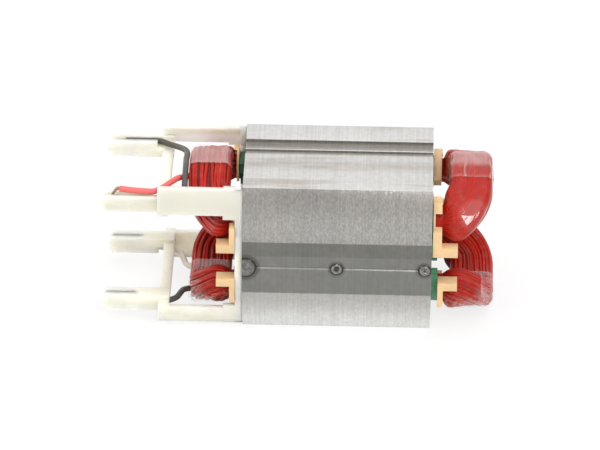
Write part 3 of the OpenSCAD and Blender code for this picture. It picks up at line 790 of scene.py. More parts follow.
@dataclass(frozen=True)
class MetalFinish(Finish):
    """Drawn or stamped metal with fine lines along the stack and a dull film."""

    film_tone: Colour = (0.2, 0.14, 0.08)
    film: Soil = Soil(420.0, 0.6)
    line_share: float = 0.15
    lines: Texture = Texture(3000.0, 3.0, 0.6, (0.08, 1.0, 1.0))
    gloss: Range = (0.22, 0.4)
    line_mm: float = 0.02
    line_strength: float = 0.6

    def paint(self, net: Net, shader: Any) -> None:
        """Draw the lines and the film.

        Args:
            net: Node tree of the material.
            shader: Inputs of its Principled shader, by name.
        """
        place = net.place()
        lines = net.texture(place, self.lines)
        colour = net.mix(net.span(lines, NOISE_RANGE), *self.tones(self.line_share))
        net.feed(shader["Base Color"], net.mix(net.soil(place, self.film), colour, self.film_tone))
        net.feed(shader["Roughness"], net.span(lines, NOISE_RANGE, self.gloss))
        net.feed(shader["Normal"], net.bump(lines, self.line_mm, self.line_strength))


@cache
def material_of(finish: Finish) -> bpy.types.Material:
    """The material of a finish, made once."""
    return finish.material()


STEEL = LaminationFinish(
    "lamination_edges", "lamination_steel", (0.585, 0.577, 0.562), 0.4, metallic=0.55
)
WELD = WeldFinish("weld_metal", "weld_metal", (0.36, 0.36, 0.35), 0.2, metallic=1.0)
ENAMEL = EnamelFinish("red_enamel", "enamelled_wire", (0.41, 0.012, 0.005), 0.3, coat=0.2, specular=0.12)
TAPE = TapeFinish("clear_tape", "clear_tape", (0.82, 0.60, 0.58), 0.22)
BLOCK = PlasticFinish(
    "tan_plastic", "block_plastic", (0.72, 0.49, 0.26), 0.45,
    subsurface=0.12, subsurface_radius_mm=1.2, soil_tone=(0.40, 0.24, 0.12),
)
NYLON = NylonFinish(
    "ivory_nylon", "frame_nylon", (0.87, 0.84, 0.69), 0.42,
    subsurface=1.0, subsurface_radius_mm=5.5, soil_tone=(0.72, 0.67, 0.53), handling=Soil(150.0, 0.08),
)
LINER = PaperFinish("green_paper", "liner_paper", (0.11, 0.38, 0.21), 0.5)
RED_SLEEVE = PlasticFinish(
    "red_sleeve", "red_sleeve", (0.78, 0.13, 0.12), 0.4, soil_tone=(0.45, 0.10, 0.09)
)
PALE_SLEEVE = PlasticFinish(
    "pale_sleeve", "pale_sleeve", (0.82, 0.79, 0.68), 0.4, soil_tone=(0.5, 0.45, 0.33)
)
BLACK_SLEEVE = PlasticFinish(
    "black_sleeve", "black_sleeve", (0.06, 0.055, 0.045), 0.42,
    soil_tone=(0.16, 0.15, 0.13), handling=Soil(150.0, 0.5),
)
BRASS = MetalFinish("contact_brass", "contact_brass", (0.72, 0.55, 0.26), 0.3, metallic=1.0)
COPPER = MetalFinish("bare_conductor", "contact_brass", (0.38, 0.22, 0.15), 0.35, metallic=1.0)


def deselect() -> None:
    """Leave edit mode and clear the selection."""
    if bpy.context.object and bpy.context.object.mode != "OBJECT":
        bpy.ops.object.mode_set(mode="OBJECT")
    bpy.ops.object.select_all(action="DESELECT")


def activate(*pieces: Piece) -> None:
    """Select pieces alone and make the first of them active.

    Args:
        pieces: The pieces.
    """
    deselect()
    for piece in pieces:
        piece.select_set(True)
    bpy.context.view_layer.objects.active = pieces[0]


@contextmanager
def editing(piece: Piece) -> Iterator[None]:
    """Edit all of a piece's mesh, and go back to object mode.

    Args:
        piece: The piece that is edited.

    Returns:
        A context in which the whole mesh is selected in edit mode.
    """
    activate(piece)
    bpy.ops.object.mode_set(mode="EDIT")
    bpy.ops.mesh.select_all(action="SELECT")
    yield
    bpy.ops.object.mode_set(mode="OBJECT")


def apply_modifier(piece: Piece, kind: str, **settings: Any) -> None:
    """Add a modifier to a piece and apply it.

    Args:
        piece: The piece that is changed.
        kind: Blender's name of the modifier type.
        settings: Values for the modifier's properties.
    """
    activate(piece)
    made = piece.modifiers.new(kind.lower(), kind)
    for key, value in settings.items():
        setattr(made, key, value)
    bpy.ops.object.modifier_apply(modifier=made.name)


def smooth(piece: Piece, angle_deg: float) -> None:
    """Shade a piece smooth, apart from edges sharper than an angle."""
    activate(piece)
    bpy.ops.object.shade_smooth_by_angle(angle=math.radians(angle_deg))


def linked(name: str, data: bpy.types.ID) -> Piece:
    """Put new data in the scene, at the origin.

    Args:
        name: Name of the object.
        data: Its mesh, curve, light or camera.

    Returns:
        The new object.
    """
    piece = bpy.data.objects.new(name, data)
    bpy.context.collection.objects.link(piece)
    return piece


def surface(name: str, rings: np.ndarray, closed_along: bool) -> Piece:
    """Make a piece from rings of points, each ring closed on itself.

    Args:
        name: Name of the piece.
        rings: Points in millimetres, by ring and by place in the ring.
        closed_along: Whether the last ring joins the first.

    Returns:
        The new piece.
    """
    count, around, _ = rings.shape
    mesh = bpy.data.meshes.new(name)
    faces = []
    for i in range(count if closed_along else count - 1):
        low, high = i * around, (i + 1) % count * around
        for k in range(around):
            after = (k + 1) % around
            faces.append((low + k, low + after, high + after, high + k))
    mesh.from_pydata((rings.reshape(-1, 3) * MM).tolist(), [], faces)
    piece = linked(name, mesh)
    with editing(piece):
        bpy.ops.mesh.normals_make_consistent(inside=False)
    return piece


def tubes(
    name: str, routes: Sequence[np.ndarray], radius_mm: float, fineness: int, closed: bool
) -> Piece:
    """Sweep a round section along routes and make the result a mesh.

    Args:
        name: Name of the piece.
        routes: Points in millimetres, one array for each tube.
        radius_mm: Radius of the tubes.
        fineness: Bevel resolution of the round section.
        closed: Whether each route is a loop.

    Returns:
        The new piece, whose tubes follow each other in its vertices.
    """
    curve = bpy.data.curves.new(name, "CURVE")
    curve.dimensions = "3D"
    curve.bevel_depth = radius_mm * MM
    curve.bevel_resolution = fineness
    curve.use_fill_caps = not closed
    for route in routes:
        spline = curve.splines.new("POLY")
        spline.points.add(len(route) - 1)
        spline.use_cyclic_u = closed
        fourth = np.ones((len(route), 1))
        spline.points.foreach_set("co", np.hstack([route * MM, fourth]).ravel())
    activate(linked(name, curve))
    bpy.ops.object.convert(target="MESH")
    return bpy.context.object


@dataclass(frozen=True)
class EdgeBreak:
    """How the edges of a solid's copy are broken."""

    width_mm: float
    segments: int = 2
    weld_mm: float = 0.002
    flat_deg: float = 0.5
    sharp_deg: float = 35.0
    smooth_deg: float = 40.0

    def copy(self, node: str, name: str) -> Piece:
        """Copy a solid's mesh with its edges broken.

        Args:
            node: Name of the solid.
            name: Name of the copy.

        Returns:
            The copy, at the solid's place.
        """
        piece = linked(name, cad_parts[node].data.copy())
        with editing(piece):
            bpy.ops.mesh.remove_doubles(threshold=self.weld_mm * MM)
            bpy.ops.mesh.dissolve_limited(angle_limit=math.radians(self.flat_deg))
        apply_modifier(
            piece,
            "BEVEL",
            width=self.width_mm * MM,
            segments=self.segments,
            limit_method="ANGLE",
            angle_limit=math.radians(self.sharp_deg),
            use_clamp_overlap=True,
        )
        smooth(piece, self.smooth_deg)
        return piece


def point_values(piece: Piece, name: str, values: np.ndarray) -> None:
    """Keep one number for each vertex of a piece."""
    layer = piece.data.attributes.new(name, "FLOAT", "POINT")
    layer.data.foreach_set("value", values.astype(np.float32).ravel())


def dress(piece: Piece, finish: Finish, *nodes: str) -> None:
    """Give a new piece its finish and its body, and hide the solids that it stands for.

    Args:
        piece: The piece.
        finish: Its finish.
        nodes: Names of the solids that it replaces.
    """
    piece.data.materials.clear()
    piece.data.materials.append(material_of(finish))
    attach(piece, BODY)
    if nodes:
        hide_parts(*nodes)
    LOG.info("%s: %d faces, %s", piece.name, len(piece.data.polygons), finish.name)


def dress_node(node: str, finish: Finish) -> None:
    """Give a solid that stays in view its finish.

    Args:
        node: Name of the solid.
        finish: Its finish.
    """
    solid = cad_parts[node]
    solid.material_slots[0].link = "OBJECT"
    solid.material_slots[0].material = material_of(finish)
    LOG.info("%s: solid kept, %s", node, finish.name)


@dataclass(frozen=True)
class Bundle:
    """Wire bundle of a saddle coil, wound on a cylinder about the armature axis, in millimetres."""

    level: Level
    far_reach: float
    near_reach: float
    wrap_r: float = 21.0
    leg_angle_deg: float = 53.734
    leg_spread_deg: float = 12.299
    leg_half_r: float = 3.1
    turn_half_w: float = 7.0
    turn_half_r: float = 4.7
    turn_swell: float = 1.8
    turn_bulge: float = 1.3
    left_bend: float = 10.4
    right_bend: float = 12.4
    turn_run: float = 5.0
    corner_r: float = 2.3
    left_plate: float = 35.65
    right_plate: float = 35.35

    @classmethod
    def of_node(cls, node: str, level: Level, ridge: float = 0.2) -> "Bundle":
        """Bundle that fills a coil's solid, less the ridges on it."""
        low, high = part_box(node)
        return cls(level, high.x / MM - ridge, -low.x / MM - ridge)

    def name(self, stem: str) -> str:
        """Name of a piece of the coil, such as upper_coil_wires."""
        return f"{self.level.name.lower()}_coil_{stem}"

    @property
    def leg_s(self) -> float:
        """Run along the cylinder from the pole axis to the middle of a slot leg."""
        return self.wrap_r * math.radians(self.leg_angle_deg)

    def bend(self, end: End) -> float:
        """Bend radius of an end turn at mid bundle."""
        return self.right_bend if end is End.RIGHT else self.left_bend

    def bend_s(self, end: End) -> float:
        """Run along the cylinder from the pole axis to the start of a bend."""
        return self.leg_s - self.bend(end)

    def reach(self, end: End) -> float:
        """Distance from the middle to the tip of an end turn."""
        return self.far_reach if end is End.RIGHT else self.near_reach

    def bend_x(self, end: End) -> float:
        """Distance from the middle to the start of a bend."""
        return self.reach(end) - self.turn_half_w - self.bend(end)

    def stations(self, bend_steps: int, crown_steps: int, leg_steps: int) -> np.ndarray:
        """Walk once round the middle of the bundle.

        Args:
            bend_steps: Number of steps in each of the four bends.
            crown_steps: Number of stations on each end turn between its bends.
            leg_steps: Number of stations on each slot leg.

        Returns:
            Rows of x, run along the cylinder and outward direction in radians.
        """
        corners = ((End.RIGHT, 1), (End.LEFT, 1), (End.LEFT, -1), (End.RIGHT, -1))
        bends = []
        for quarter, (end, side) in enumerate(corners):
            turn = quarter * math.pi / 2 + np.linspace(0, math.pi / 2, bend_steps + 1)
            x = end.value * self.bend_x(end) + self.bend(end) * np.cos(turn)
            s = side * self.bend_s(end) + self.bend(end) * np.sin(turn)
            bends.append(np.stack([x, s, turn], axis=-1))
        rows = []
        for quarter, arc in enumerate(bends):
            after = bends[(quarter + 1) % 4][0]
            steps = leg_steps if quarter % 2 == 0 else crown_steps
            share = np.arange(1, steps + 1)[:, None] / (steps + 1)
            straight = arc[-1] + (after - arc[-1]) * share
            straight[:, 2] = arc[-1, 2]
            rows += [arc, straight]
        return np.vstack(rows)

    def crown_station(self, end: End, s: np.ndarray) -> np.ndarray:
        """Stations on the middle of an end turn.

        Args:
            end: Which end turn.
            s: Runs from its crown, towards the back when positive.

        Returns:
            Rows of x, run along the cylinder and outward direction in radians.
        """
        radius, start = self.bend(end), self.bend_s(end)
        run = np.maximum(0.0, np.abs(s) - start) / radius
        x = self.bend_x(end) + radius * np.cos(run)
        across = np.where(run > 0, np.sign(s) * (start + radius * np.sin(run)), s)
        turn = np.sign(s) * run
        if end is End.LEFT:
            x, turn = -x, math.pi - turn
        return np.stack([x, across, turn], axis=-1)

    def boxed(
        self, t: np.ndarray, half_w: Any, half_h: Any, round_r: Any
    ) -> tuple[np.ndarray, np.ndarray]:
        """Points of a rounded box, walked evenly from its outer side.

        Args:
            t: Shares of the box's outline.
            half_w: Half of its width.
            half_h: Half of its height.
            round_r: Radius of its corners.

        Returns:
            The points' places along the width and along the height.
        """
        t = np.mod(t, 1.0)
        quarter = np.floor(4 * t)
        part = 4 * t - quarter
        arc = math.pi / 2 * round_r
        run = np.where(quarter % 2 == 0, part, 1 - part) * (half_w + half_h - 2 * round_r + arc)
        turn = np.clip((run - half_h + round_r) / round_r, 0, math.pi / 2)
        flat = np.maximum(0.0, run - half_h + round_r - arc)
        side = run < half_h - round_r
        across = np.where(side, half_w, half_w - round_r * (1 - np.cos(turn)) - flat)
        out = np.where(side, run, half_h - round_r * (1 - np.sin(turn)))
        turned = (quarter == 1) | (quarter == 2)
        return np.where(turned, -across, across), np.where(quarter >= 2, -out, out)

    def point(self, stations: np.ndarray, t: np.ndarray, out: np.ndarray) -> np.ndarray:
        """Points of the bundle's surface.

        Args:
            stations: Rows of x, run and direction.
            t: Share of the section's outline at each station.
            out: Distance out of the bundle's surface.

        Returns:
            Points in millimetres.
        """
        x, s, turn = stations[..., 0], stations[..., 1], stations[..., 2]
        leg_half_s = self.wrap_r * math.radians(self.leg_spread_deg)
        plain, _ = self.boxed(t, leg_half_s, self.leg_half_r, self.corner_r)
        plate = np.where(x < 0, self.left_plate, self.right_plate)
        share = ramp(np.abs(x + plain * np.cos(turn)), plate, plate + self.turn_run)
        wide = share * (2 - share)
        swell = wide * np.sin(turn) ** 2
        rise = self.turn_swell * swell / 2
        half_s = leg_half_s + (self.turn_half_w - leg_half_s) * wide + self.turn_bulge * swell
        half_r = self.leg_half_r + (self.turn_half_r - self.leg_half_r) * wide + rise
        across, up = self.boxed(t, half_s + out, half_r + out, self.corner_r + out)
        radius = self.wrap_r + rise + up
        angle = (s + across * np.sin(turn)) / self.wrap_r
        height = self.level.value * radius * np.cos(angle)
        return np.stack([x + across * np.cos(turn), radius * np.sin(angle), height], axis=-1)


@dataclass(frozen=True)
class Coil:
    """Saddle coil of enamelled wire: loose-laid strands over a varnished core, in millimetres."""

    bundle: Bundle
    seed: int
    taped_s: float
    varnished_core: float = 0.1
    bare_core: float = -0.75
    core_points: int = 96
    core_tone: float = 0.35
    core_depths: Range = (0.05, 0.8)
    taped_half: float = 6.4
    taped_share: float = 0.5
    steps: tuple[int, int, int] = (20, 12, 12)
    strands: int = 37
    fineness: int = 2
    wire_r: float = 0.6
    crest: float = 0.2
    jitter: float = 0.25
    wander: float = 0.24
    quick_wander: float = 0.6
    wave: float = 0.1
    loose_x: Range = (34.0, 40.0)
    loose_wander: float = 1.3
    loose_rise: float = 0.3
    smooth_deg: float = 80.0

    def build(self) -> Piece:
        """Lay the strands and the core between them.

        Returns:
            The coil as one piece.
        """
        draw = np.random.default_rng(self.seed)
        stations = self.bundle.stations(*self.steps)
        count = len(stations)
        along = np.arange(count) / count * 2 * math.pi
        loose = ramp(-stations[:, 0], *self.loose_x)
        bends = np.sin(2 * stations[:, 2]) ** 2 * loose
        amount = self.wander * (1 + self.loose_wander * loose)
        routes = []
        for k in range(self.strands):
            phase = draw.uniform(0, 2 * math.pi, 4)
            drift = np.sin(along + phase[0]) + self.quick_wander * np.sin(3 * along + phase[1])
            t = (k + 0.5 + self.jitter * draw.uniform(-1, 1) + amount * drift) / self.strands
            rise = self.wave * (np.sin(2 * along + phase[2]) - draw.uniform(0, 1))
            rise = rise + self.loose_rise * bends * np.sin(4 * along + phase[3])
            routes.append(self.bundle.point(stations, t, self.crest - self.wire_r + rise))
        wires = tubes(self.bundle.name("wires"), routes, self.wire_r, self.fineness, True)
        each = len(wires.data.vertices) // self.strands
        tones = np.repeat(draw.uniform(0, 1, self.strands), each)
        point_values(wires, "strand", tones)
        point_values(wires, "depth", np.zeros(len(tones)))
        point_values(wires, "varnish", np.tile(np.repeat(1 - loose, each // count), self.strands))
        smooth(wires, self.smooth_deg)
        activate(wires, self.core(stations, loose))
        bpy.ops.object.join()
        return wires

    def core(self, stations: np.ndarray, loose: np.ndarray) -> Piece:
        """Fill the coil between its strands.

        Args:
            stations: Rows of x, run and direction round the bundle.
            loose: How loosely the strands lie at each station.

        Returns:
            The varnish, deep where the strands lie loose and nearly flush elsewhere.
        """
        share = np.arange(self.core_points) / self.core_points
        taped = np.abs(stations[:, 1] - self.taped_s) < self.taped_half
        loose = loose * np.where(taped, self.taped_share, 1.0)
        level = self.varnished_core + (self.bare_core - self.varnished_core) * loose
        rings = self.bundle.point(stations[:, None, :], share[None, :], level[:, None])
        made = surface(self.bundle.name("core"), rings, True)
        # Painted shade of the gaps between strands: darker where the strands lie loose.
        shallow, deep = self.core_depths
        depth = shallow + (deep - shallow) * loose
        point_values(made, "strand", np.full(rings.shape[:2], self.core_tone))
        point_values(made, "depth", np.repeat(depth, self.core_points))
        point_values(made, "varnish", np.repeat(1 - loose, self.core_points))
        smooth(made, self.smooth_deg)
        return made


@dataclass(frozen=True)
class TapeWrap:
    """Wrap of clear film round an end turn, in millimetres; its creases are shares of the girth."""

    bundle: Bundle
    end: End
    middle: float
    seed: int
    clear_front: float = 0.0
    creases: tuple[float, ...] = ()
    width: float = 13.5
    skin: float = 0.52
    dip: float = 0.06
    film: float = 0.1
    wrinkle: float = 0.09
    torn: float = 0.22
    edge_rise: float = 0.06
    edge_power: int = 8
    wires: int = 37
    along: int = 30
    around: int = 148
    rough_scale: Range = (2.2, 2.5)
    torn_scale: float = 4.0
    torn_run: float = 9.0
    up_power: int = 3
    up_veil: float = 0.85
    rough_veil: float = 0.9
    crease_veil: float = 0.9
    edge_veil: float = 0.45
    bare_veil: float = 0.1
    front_run: Range = (-0.05, -0.25)
    crease_run: Range = (0.1, -0.05)
    crease_wander: float = 0.03
    crease_half: float = 0.007
    smooth_deg: float = 60.0

    def build(self) -> Piece:
        """Stretch the film over the wires, with small wrinkles and a torn edge.

        Returns:
            The wrap as one piece.
        """
        share = np.arange(self.around) / self.around
        run = np.linspace(-0.5, 0.5, self.along)[:, None]
        circle = np.stack([np.cos(2 * math.pi * share), np.sin(2 * math.pi * share)], axis=-1)
        rough = np.array([[self.rough(p, r) for p in circle] for r in run[:, 0]])
        torn = np.array([self.rough(p * self.torn_scale, self.torn_run) for p in circle])
        edge = np.abs(2 * run) ** self.edge_power
        s = self.middle + self.width * run + self.torn * edge * np.sign(run) * torn
        dips = self.dip * np.cos(2 * math.pi * self.wires * share)
        out = self.skin + self.wrinkle * np.maximum(0.0, rough) + dips + self.edge_rise * edge
        stations = self.bundle.crown_station(self.end, s)
        rings = self.bundle.point(stations, np.broadcast_to(share, s.shape), out)
        made = surface(corner_name("tape_film", self.end, self.bundle.level), rings, False)
        normals = np.empty(len(made.data.vertices) * 3)
        made.data.vertices.foreach_get("normal", normals)
        # Painted sheen where the film faces up, and a painted highlight along its edges.
        up = np.clip(normals.reshape(s.shape + (3,))[..., 2], 0, 1) ** self.up_power
        veil = self.veil(share, run, rough, up) + self.edge_veil * edge - self.bare_veil
        point_values(made, "lift", np.clip(veil, 0, 1))
        apply_modifier(made, "SOLIDIFY", thickness=self.film * MM, offset=0.0)
        smooth(made, self.smooth_deg)
        return made

    def veil(self, share: np.ndarray, run: np.ndarray, rough: np.ndarray, up: np.ndarray) -> np.ndarray:
        """How milky the film is, with its painted sheen and highlights.

        Args:
            share: Places round the girth.
            run: Places across the film.
            rough: Wrinkle noise by run and share.
            up: How far the film faces up, by run and share.

        Returns:
            Milkiness by run and share: painted sheen on top, milky wrinkles, and creases that are milky
                with painted glints.
        """
        front = ramp(run, *self.front_run)
        veil = self.up_veil * up + self.rough_veil * np.maximum(0.0, rough)
        veil = (1 - self.clear_front * front) * veil
        # Creases are milky film with painted glints along them.
        for crease in self.creases:
            line = np.exp(-((share - crease + self.crease_wander * rough) / self.crease_half) ** 2)
            veil = veil + self.crease_veil * line * ramp(run, *self.crease_run)
        return veil

    def rough(self, place: np.ndarray, run: float) -> float:
        """Slow wrinkle noise at a place round the section."""
        round_by, across = self.rough_scale
        return noise.noise(Vector((place[0] * round_by, place[1] * round_by, run * across + self.seed)))


@dataclass(frozen=True)
class WeldBead:
    """Spot of fused metal on a weld flat, in millimetres; its steps are shares inwards and rises."""

    weld: WeldSpot
    depth: Depth
    stack_end: float = 31.4
    sides: int = 44
    steps: tuple[Range, ...] = (
        (0.10, 0.20), (0.10, 0.24), (0.14, 0.14), (0.12, -0.10),
        (0.14, -0.24), (0.14, -0.12), (0.12, 0.16),
    )
    lump: float = 0.2
    lump_scale: float = 900.0
    lumpy_share: float = 0.95
    rim_shares: Range = (0.68, 0.88)
    crater_fade: float = 0.15
    smooth_deg: float = 70.0

    def build(self) -> Piece:
        """Inset a disc step by step into a rim, a crest and a crater, and roughen it.

        Returns:
            The bead.
        """
        side = self.depth.value
        deselect()
        bpy.ops.mesh.primitive_circle_add(
            vertices=self.sides,
            radius=self.weld.radius * MM,
            fill_type="NGON",
            location=(self.weld.x * MM, side * WELD_FLAT_Y_MM * MM, 0.0),
            rotation=(side * -math.pi / 2, 0.0, 0.0),
        )
        bead = bpy.context.object
        bpy.ops.object.transform_apply(location=True, rotation=True)
        with editing(bead):
            for inset, rise in self.steps:
                bpy.ops.mesh.inset(thickness=inset * self.weld.radius * MM)
                bpy.ops.transform.translate(value=(0.0, side * rise * MM, 0.0))
        self.roughen(bead)
        apply_modifier(bead, "SUBSURF", levels=1, render_levels=1)
        end = (-self.stack_end * MM, 0.0, 0.0)
        with editing(bead):
            bpy.ops.mesh.bisect(plane_co=end, plane_no=(-1.0, 0.0, 0.0), clear_outer=True)
        share = np.array([self.away(v.co) for v in bead.data.vertices])
        crater = ramp(share, self.weld.crater, self.weld.crater - self.crater_fade)
        point_values(bead, "rim", ramp(share, *self.rim_shares))
        point_values(bead, "crater", np.maximum(crater, self.weld.dullness))
        smooth(bead, self.smooth_deg)
        return bead

    def away(self, place: Vector) -> float:
        """Distance of a place from the bead's middle, as a share of its radius."""
        return math.hypot(place.x - self.weld.x * MM, place.z) / (self.weld.radius * MM)

    def roughen(self, bead: Piece) -> None:
        """Move the inner rings of a bead in and out.

        Args:
            bead: The bead.
        """
        offset = Vector((self.weld.x, 0.0, 0.0))
        for vertex in bead.data.vertices:
            if self.away(vertex.co) < self.lumpy_share:
                lump = noise.noise(vertex.co * self.lump_scale + offset)
                vertex.co.y += self.depth.value * self.lump * lump * MM


@dataclass(frozen=True)
class Stack:
    """Lamination stack, its welds and its slot liners."""

    edges: EdgeBreak = EdgeBreak(0.06)

    def build(self) -> None:
        """Make the stack and its weld beads, and dress its liners."""
        dress(self.edges.copy("stator_core", "lamination_stack"), STEEL, "stator_core")
        beads = [WeldBead(weld, depth).build() for depth, weld in product(Depth, WELD_SPOTS)]
        activate(*beads)
        bpy.ops.object.join()
        beads[0].name = "weld_beads"
        dress(beads[0], WELD, "side_welds")
        for corner in product(Level, Depth):
            dress_node(corner_name("liner", *corner), LINER)


@dataclass(frozen=True)
class Windings:
    """Both saddle coils with their tape wraps and end blocks, in millimetres."""

    upper_seed: int = 11
    lower_seed: int = 29
    lower_core: float = -0.25
    upper_left_tape_s: float = 3.4
    lower_left_tape_s: float = -3.6
    upper_right_tape_s: float = 0.0
    lower_right_tape_s: float = -9.5
    upper_left_creases: Range = (0.21, 0.34)
    upper_right_creases: Range = (0.105, 0.285)
    upper_right_clear: float = 0.9
    block_edges: EdgeBreak = EdgeBreak(0.16)

    def build(self) -> None:
        """Lay the coils, wrap their end turns and seat their blocks."""
        upper = Bundle.of_node("upper_coil", Level.UPPER)
        lower = Bundle.of_node("lower_coil", Level.LOWER)
        upper_coil = Coil(upper, self.upper_seed, self.upper_left_tape_s)
        lower_coil = Coil(lower, self.lower_seed, self.lower_left_tape_s, self.lower_core)
        dress(upper_coil.build(), ENAMEL, "upper_coil")
        dress(lower_coil.build(), ENAMEL, "lower_coil")
        wraps = (
            TapeWrap(upper, End.LEFT, self.upper_left_tape_s, 1, creases=self.upper_left_creases),
            TapeWrap(lower, End.LEFT, self.lower_left_tape_s, 2),
            TapeWrap(
                upper, End.RIGHT, self.upper_right_tape_s, 3,
                self.upper_right_clear, self.upper_right_creases,
            ),
            TapeWrap(lower, End.RIGHT, self.lower_right_tape_s, 4),
        )
        for wrap in wraps:
            dress(wrap.build(), TAPE, corner_name("tape", wrap.end, wrap.bundle.level))
        for corner in product(End, Level, Depth):
            node = corner_name("block", *corner)
            dress(self.block_edges.copy(node, "end_" + node), BLOCK, node)


def polar(x: float, angle_deg: float, r: float) -> Point:
    """Point at an angle from the pole axis, towards the back when positive."""
    angle = math.radians(angle_deg)
    return (x, r * math.sin(angle), r * math.cos(angle))


@dataclass(frozen=True)
class Lead:
    """Sleeved lead wire from a coil to its post, with a bare stranded tip, in millimetres."""

    level: Level
    depth: Depth
    finish: Finish
    route: tuple[Point, ...]
    sleeve_r: float = 1.0
    sleeve_fineness: int = 5
    bare_l: float = 3.5
    bare_drop_to: float = 20.05
    bare_shares: tuple[Range, ...] = ((-0.3, 0.0), (0.25, 0.0), (0.7, 0.7), (1.0, 1.0))
    thread_r: float = 0.21
    thread_fineness: int = 2
    thread_lay: float = 1.9
    thread_turns: float = 1.2
    threads: int = 6
    steps: int = 8
    smooth_deg: float = 50.0

    def build(self) -> None:
        """Sweep the sleeve and twist the bare tip."""
        node = corner_name("lead", self.level, self.depth)
        route = self.turned(self.smoothed(self.route))
        sleeve = tubes(node + "_sleeve", [route], self.sleeve_r, self.sleeve_fineness, False)
        smooth(sleeve, self.smooth_deg)
        dress(sleeve, self.finish, node)
        tip = np.array(self.route[-1])
        drop = tip[2] - self.bare_drop_to
        bare = [tip - np.array([self.bare_l * run, 0.0, drop * dip]) for run, dip in self.bare_shares]
        middle = self.smoothed(bare)
        twist = np.linspace(0, self.thread_turns * 2 * math.pi, len(middle))
        routes = [middle]
        for k in range(self.threads):
            angle = twist + 2 * math.pi * k / self.threads
            ring = np.stack([np.zeros_like(angle), np.cos(angle), np.sin(angle)], axis=-1)
            routes.append(middle + self.thread_lay * self.thread_r * ring)
        routes = [self.turned(route) for route in routes]
        threads = tubes(node + "_tip", routes, self.thread_r, self.thread_fineness, False)
        smooth(threads, self.smooth_deg)
        dress(threads, COPPER)

    def turned(self, points: np.ndarray) -> np.ndarray:
        """Points of the upper half, moved to the lead's own half."""
        return points * np.array([1.0, 1.0, float(self.level.value)])

    def smoothed(self, points: Sequence[Sequence[float]]) -> np.ndarray:
        """Smooth curve through the points of a route.

        Args:
            points: The route's points.

        Returns:
            Points of the curve, evenly many between each pair.
        """
        p = np.array(points, dtype=float)
        p = np.vstack([p[0], p, p[-1]])
        rows = []
        for i in range(1, len(p) - 2):
            for t in np.arange(self.steps) / self.steps:
                rows.append(0.5 * (
                    2 * p[i] + (p[i + 1] - p[i - 1]) * t
                    + (2 * p[i - 1] - 5 * p[i] + 4 * p[i + 1] - p[i + 2]) * t ** 2
                    + (3 * p[i] - p[i - 1] - 3 * p[i + 1] + p[i + 2]) * t ** 3
                ))
        rows.append(p[-2])
        return np.array(rows)


@dataclass(frozen=True)
class Terminals:
    """Terminal frame, its leads and its contacts, in millimetres."""

    edges: EdgeBreak = EdgeBreak(0.3)
    arm_end: float = -59.55
    bridge_l: float = 3.6
    post_y: float = 18.5
    post_top: float = 21.8
    channel_z: float = 20.8
    sleeve_end: float = -72.25
    upper_face_x: float = -51.0
    lower_face_x: float = -51.4
    face_r: float = 24.4
    turn_r: float = 21.0

    def build(self) -> None:
        """Make the frame, lay the leads and dress the contacts."""
        dress(self.edges.copy("terminal_frame", "terminal_moulding"), NYLON, "terminal_frame")
        for lead in self.leads():
            lead.build()
        for corner in product(Level, Depth):
            dress_node(corner_name("contact", *corner), BRASS)

    def in_channel(self, depth: Depth) -> tuple[Point, ...]:
        """Last points of a lead that lies in the channel of its post."""
        places = (self.arm_end - 1.5, self.arm_end - 6, self.sleeve_end)
        return tuple((x, depth.value * self.post_y, self.channel_z) for x in places)

    def leads(self) -> tuple[Lead, ...]:
        """Lay the leads, the lower ones as if they were above.

        Returns:
            The four leads on their routes.
        """
        end, y, z = self.arm_end, self.post_y, self.channel_z
        on_bridge = end + self.bridge_l / 2
        before_bridge = end + self.bridge_l + 2
        upper_back = (
            polar(self.upper_face_x, -31, self.face_r),
            polar(self.upper_face_x, -16, self.face_r),
            polar(self.upper_face_x, 0, self.face_r),
            polar(self.upper_face_x, 14, self.face_r),
            polar(self.upper_face_x - 1.5, 24, self.face_r + 0.5),
            (on_bridge, y - 2.4, z + 0.3),
            *self.in_channel(Depth.BACK),
        )
        upper_front = (
            polar(self.upper_face_x + 4, -8, self.turn_r),
            polar(self.upper_face_x, -13, self.turn_r),
            polar(self.upper_face_x - 2.6, -21, self.turn_r + 2.6),
            (on_bridge, 2.6 - y, self.post_top + 1.2),
            (end - 1, -y, self.post_top + 1),
            (end - 4, -y, self.post_top + 0.9),
            (end - 8, -y, self.post_top + 1.2),
            (self.sleeve_end, -y, self.post_top + 1.7),
        )
        lower_front = (
            polar(self.lower_face_x + 4, -21, self.turn_r + 1),
            polar(self.lower_face_x, -28, self.turn_r + 1.5),
            polar(self.lower_face_x - 1, -33, self.turn_r + 2.4),
            (before_bridge, 3.4 - y, z - 0.4),
            (on_bridge, 1.4 - y, z),
            *self.in_channel(Depth.FRONT),
        )
        lower_back = (
            polar(self.lower_face_x + 4, 13, self.turn_r + 1),
            polar(self.lower_face_x, 20, self.turn_r + 1.5),
            polar(self.lower_face_x - 1, 26, self.turn_r + 2.4),
            (before_bridge, y - 4.4, z - 0.2),
            (on_bridge, y - 1.8, z),
            *self.in_channel(Depth.BACK),
        )
        return (
            Lead(Level.UPPER, Depth.FRONT, RED_SLEEVE, upper_front),
            Lead(Level.UPPER, Depth.BACK, BLACK_SLEEVE, upper_back),
            Lead(Level.LOWER, Depth.FRONT, BLACK_SLEEVE, lower_front),
            Lead(Level.LOWER, Depth.BACK, PALE_SLEEVE, lower_back),
        )


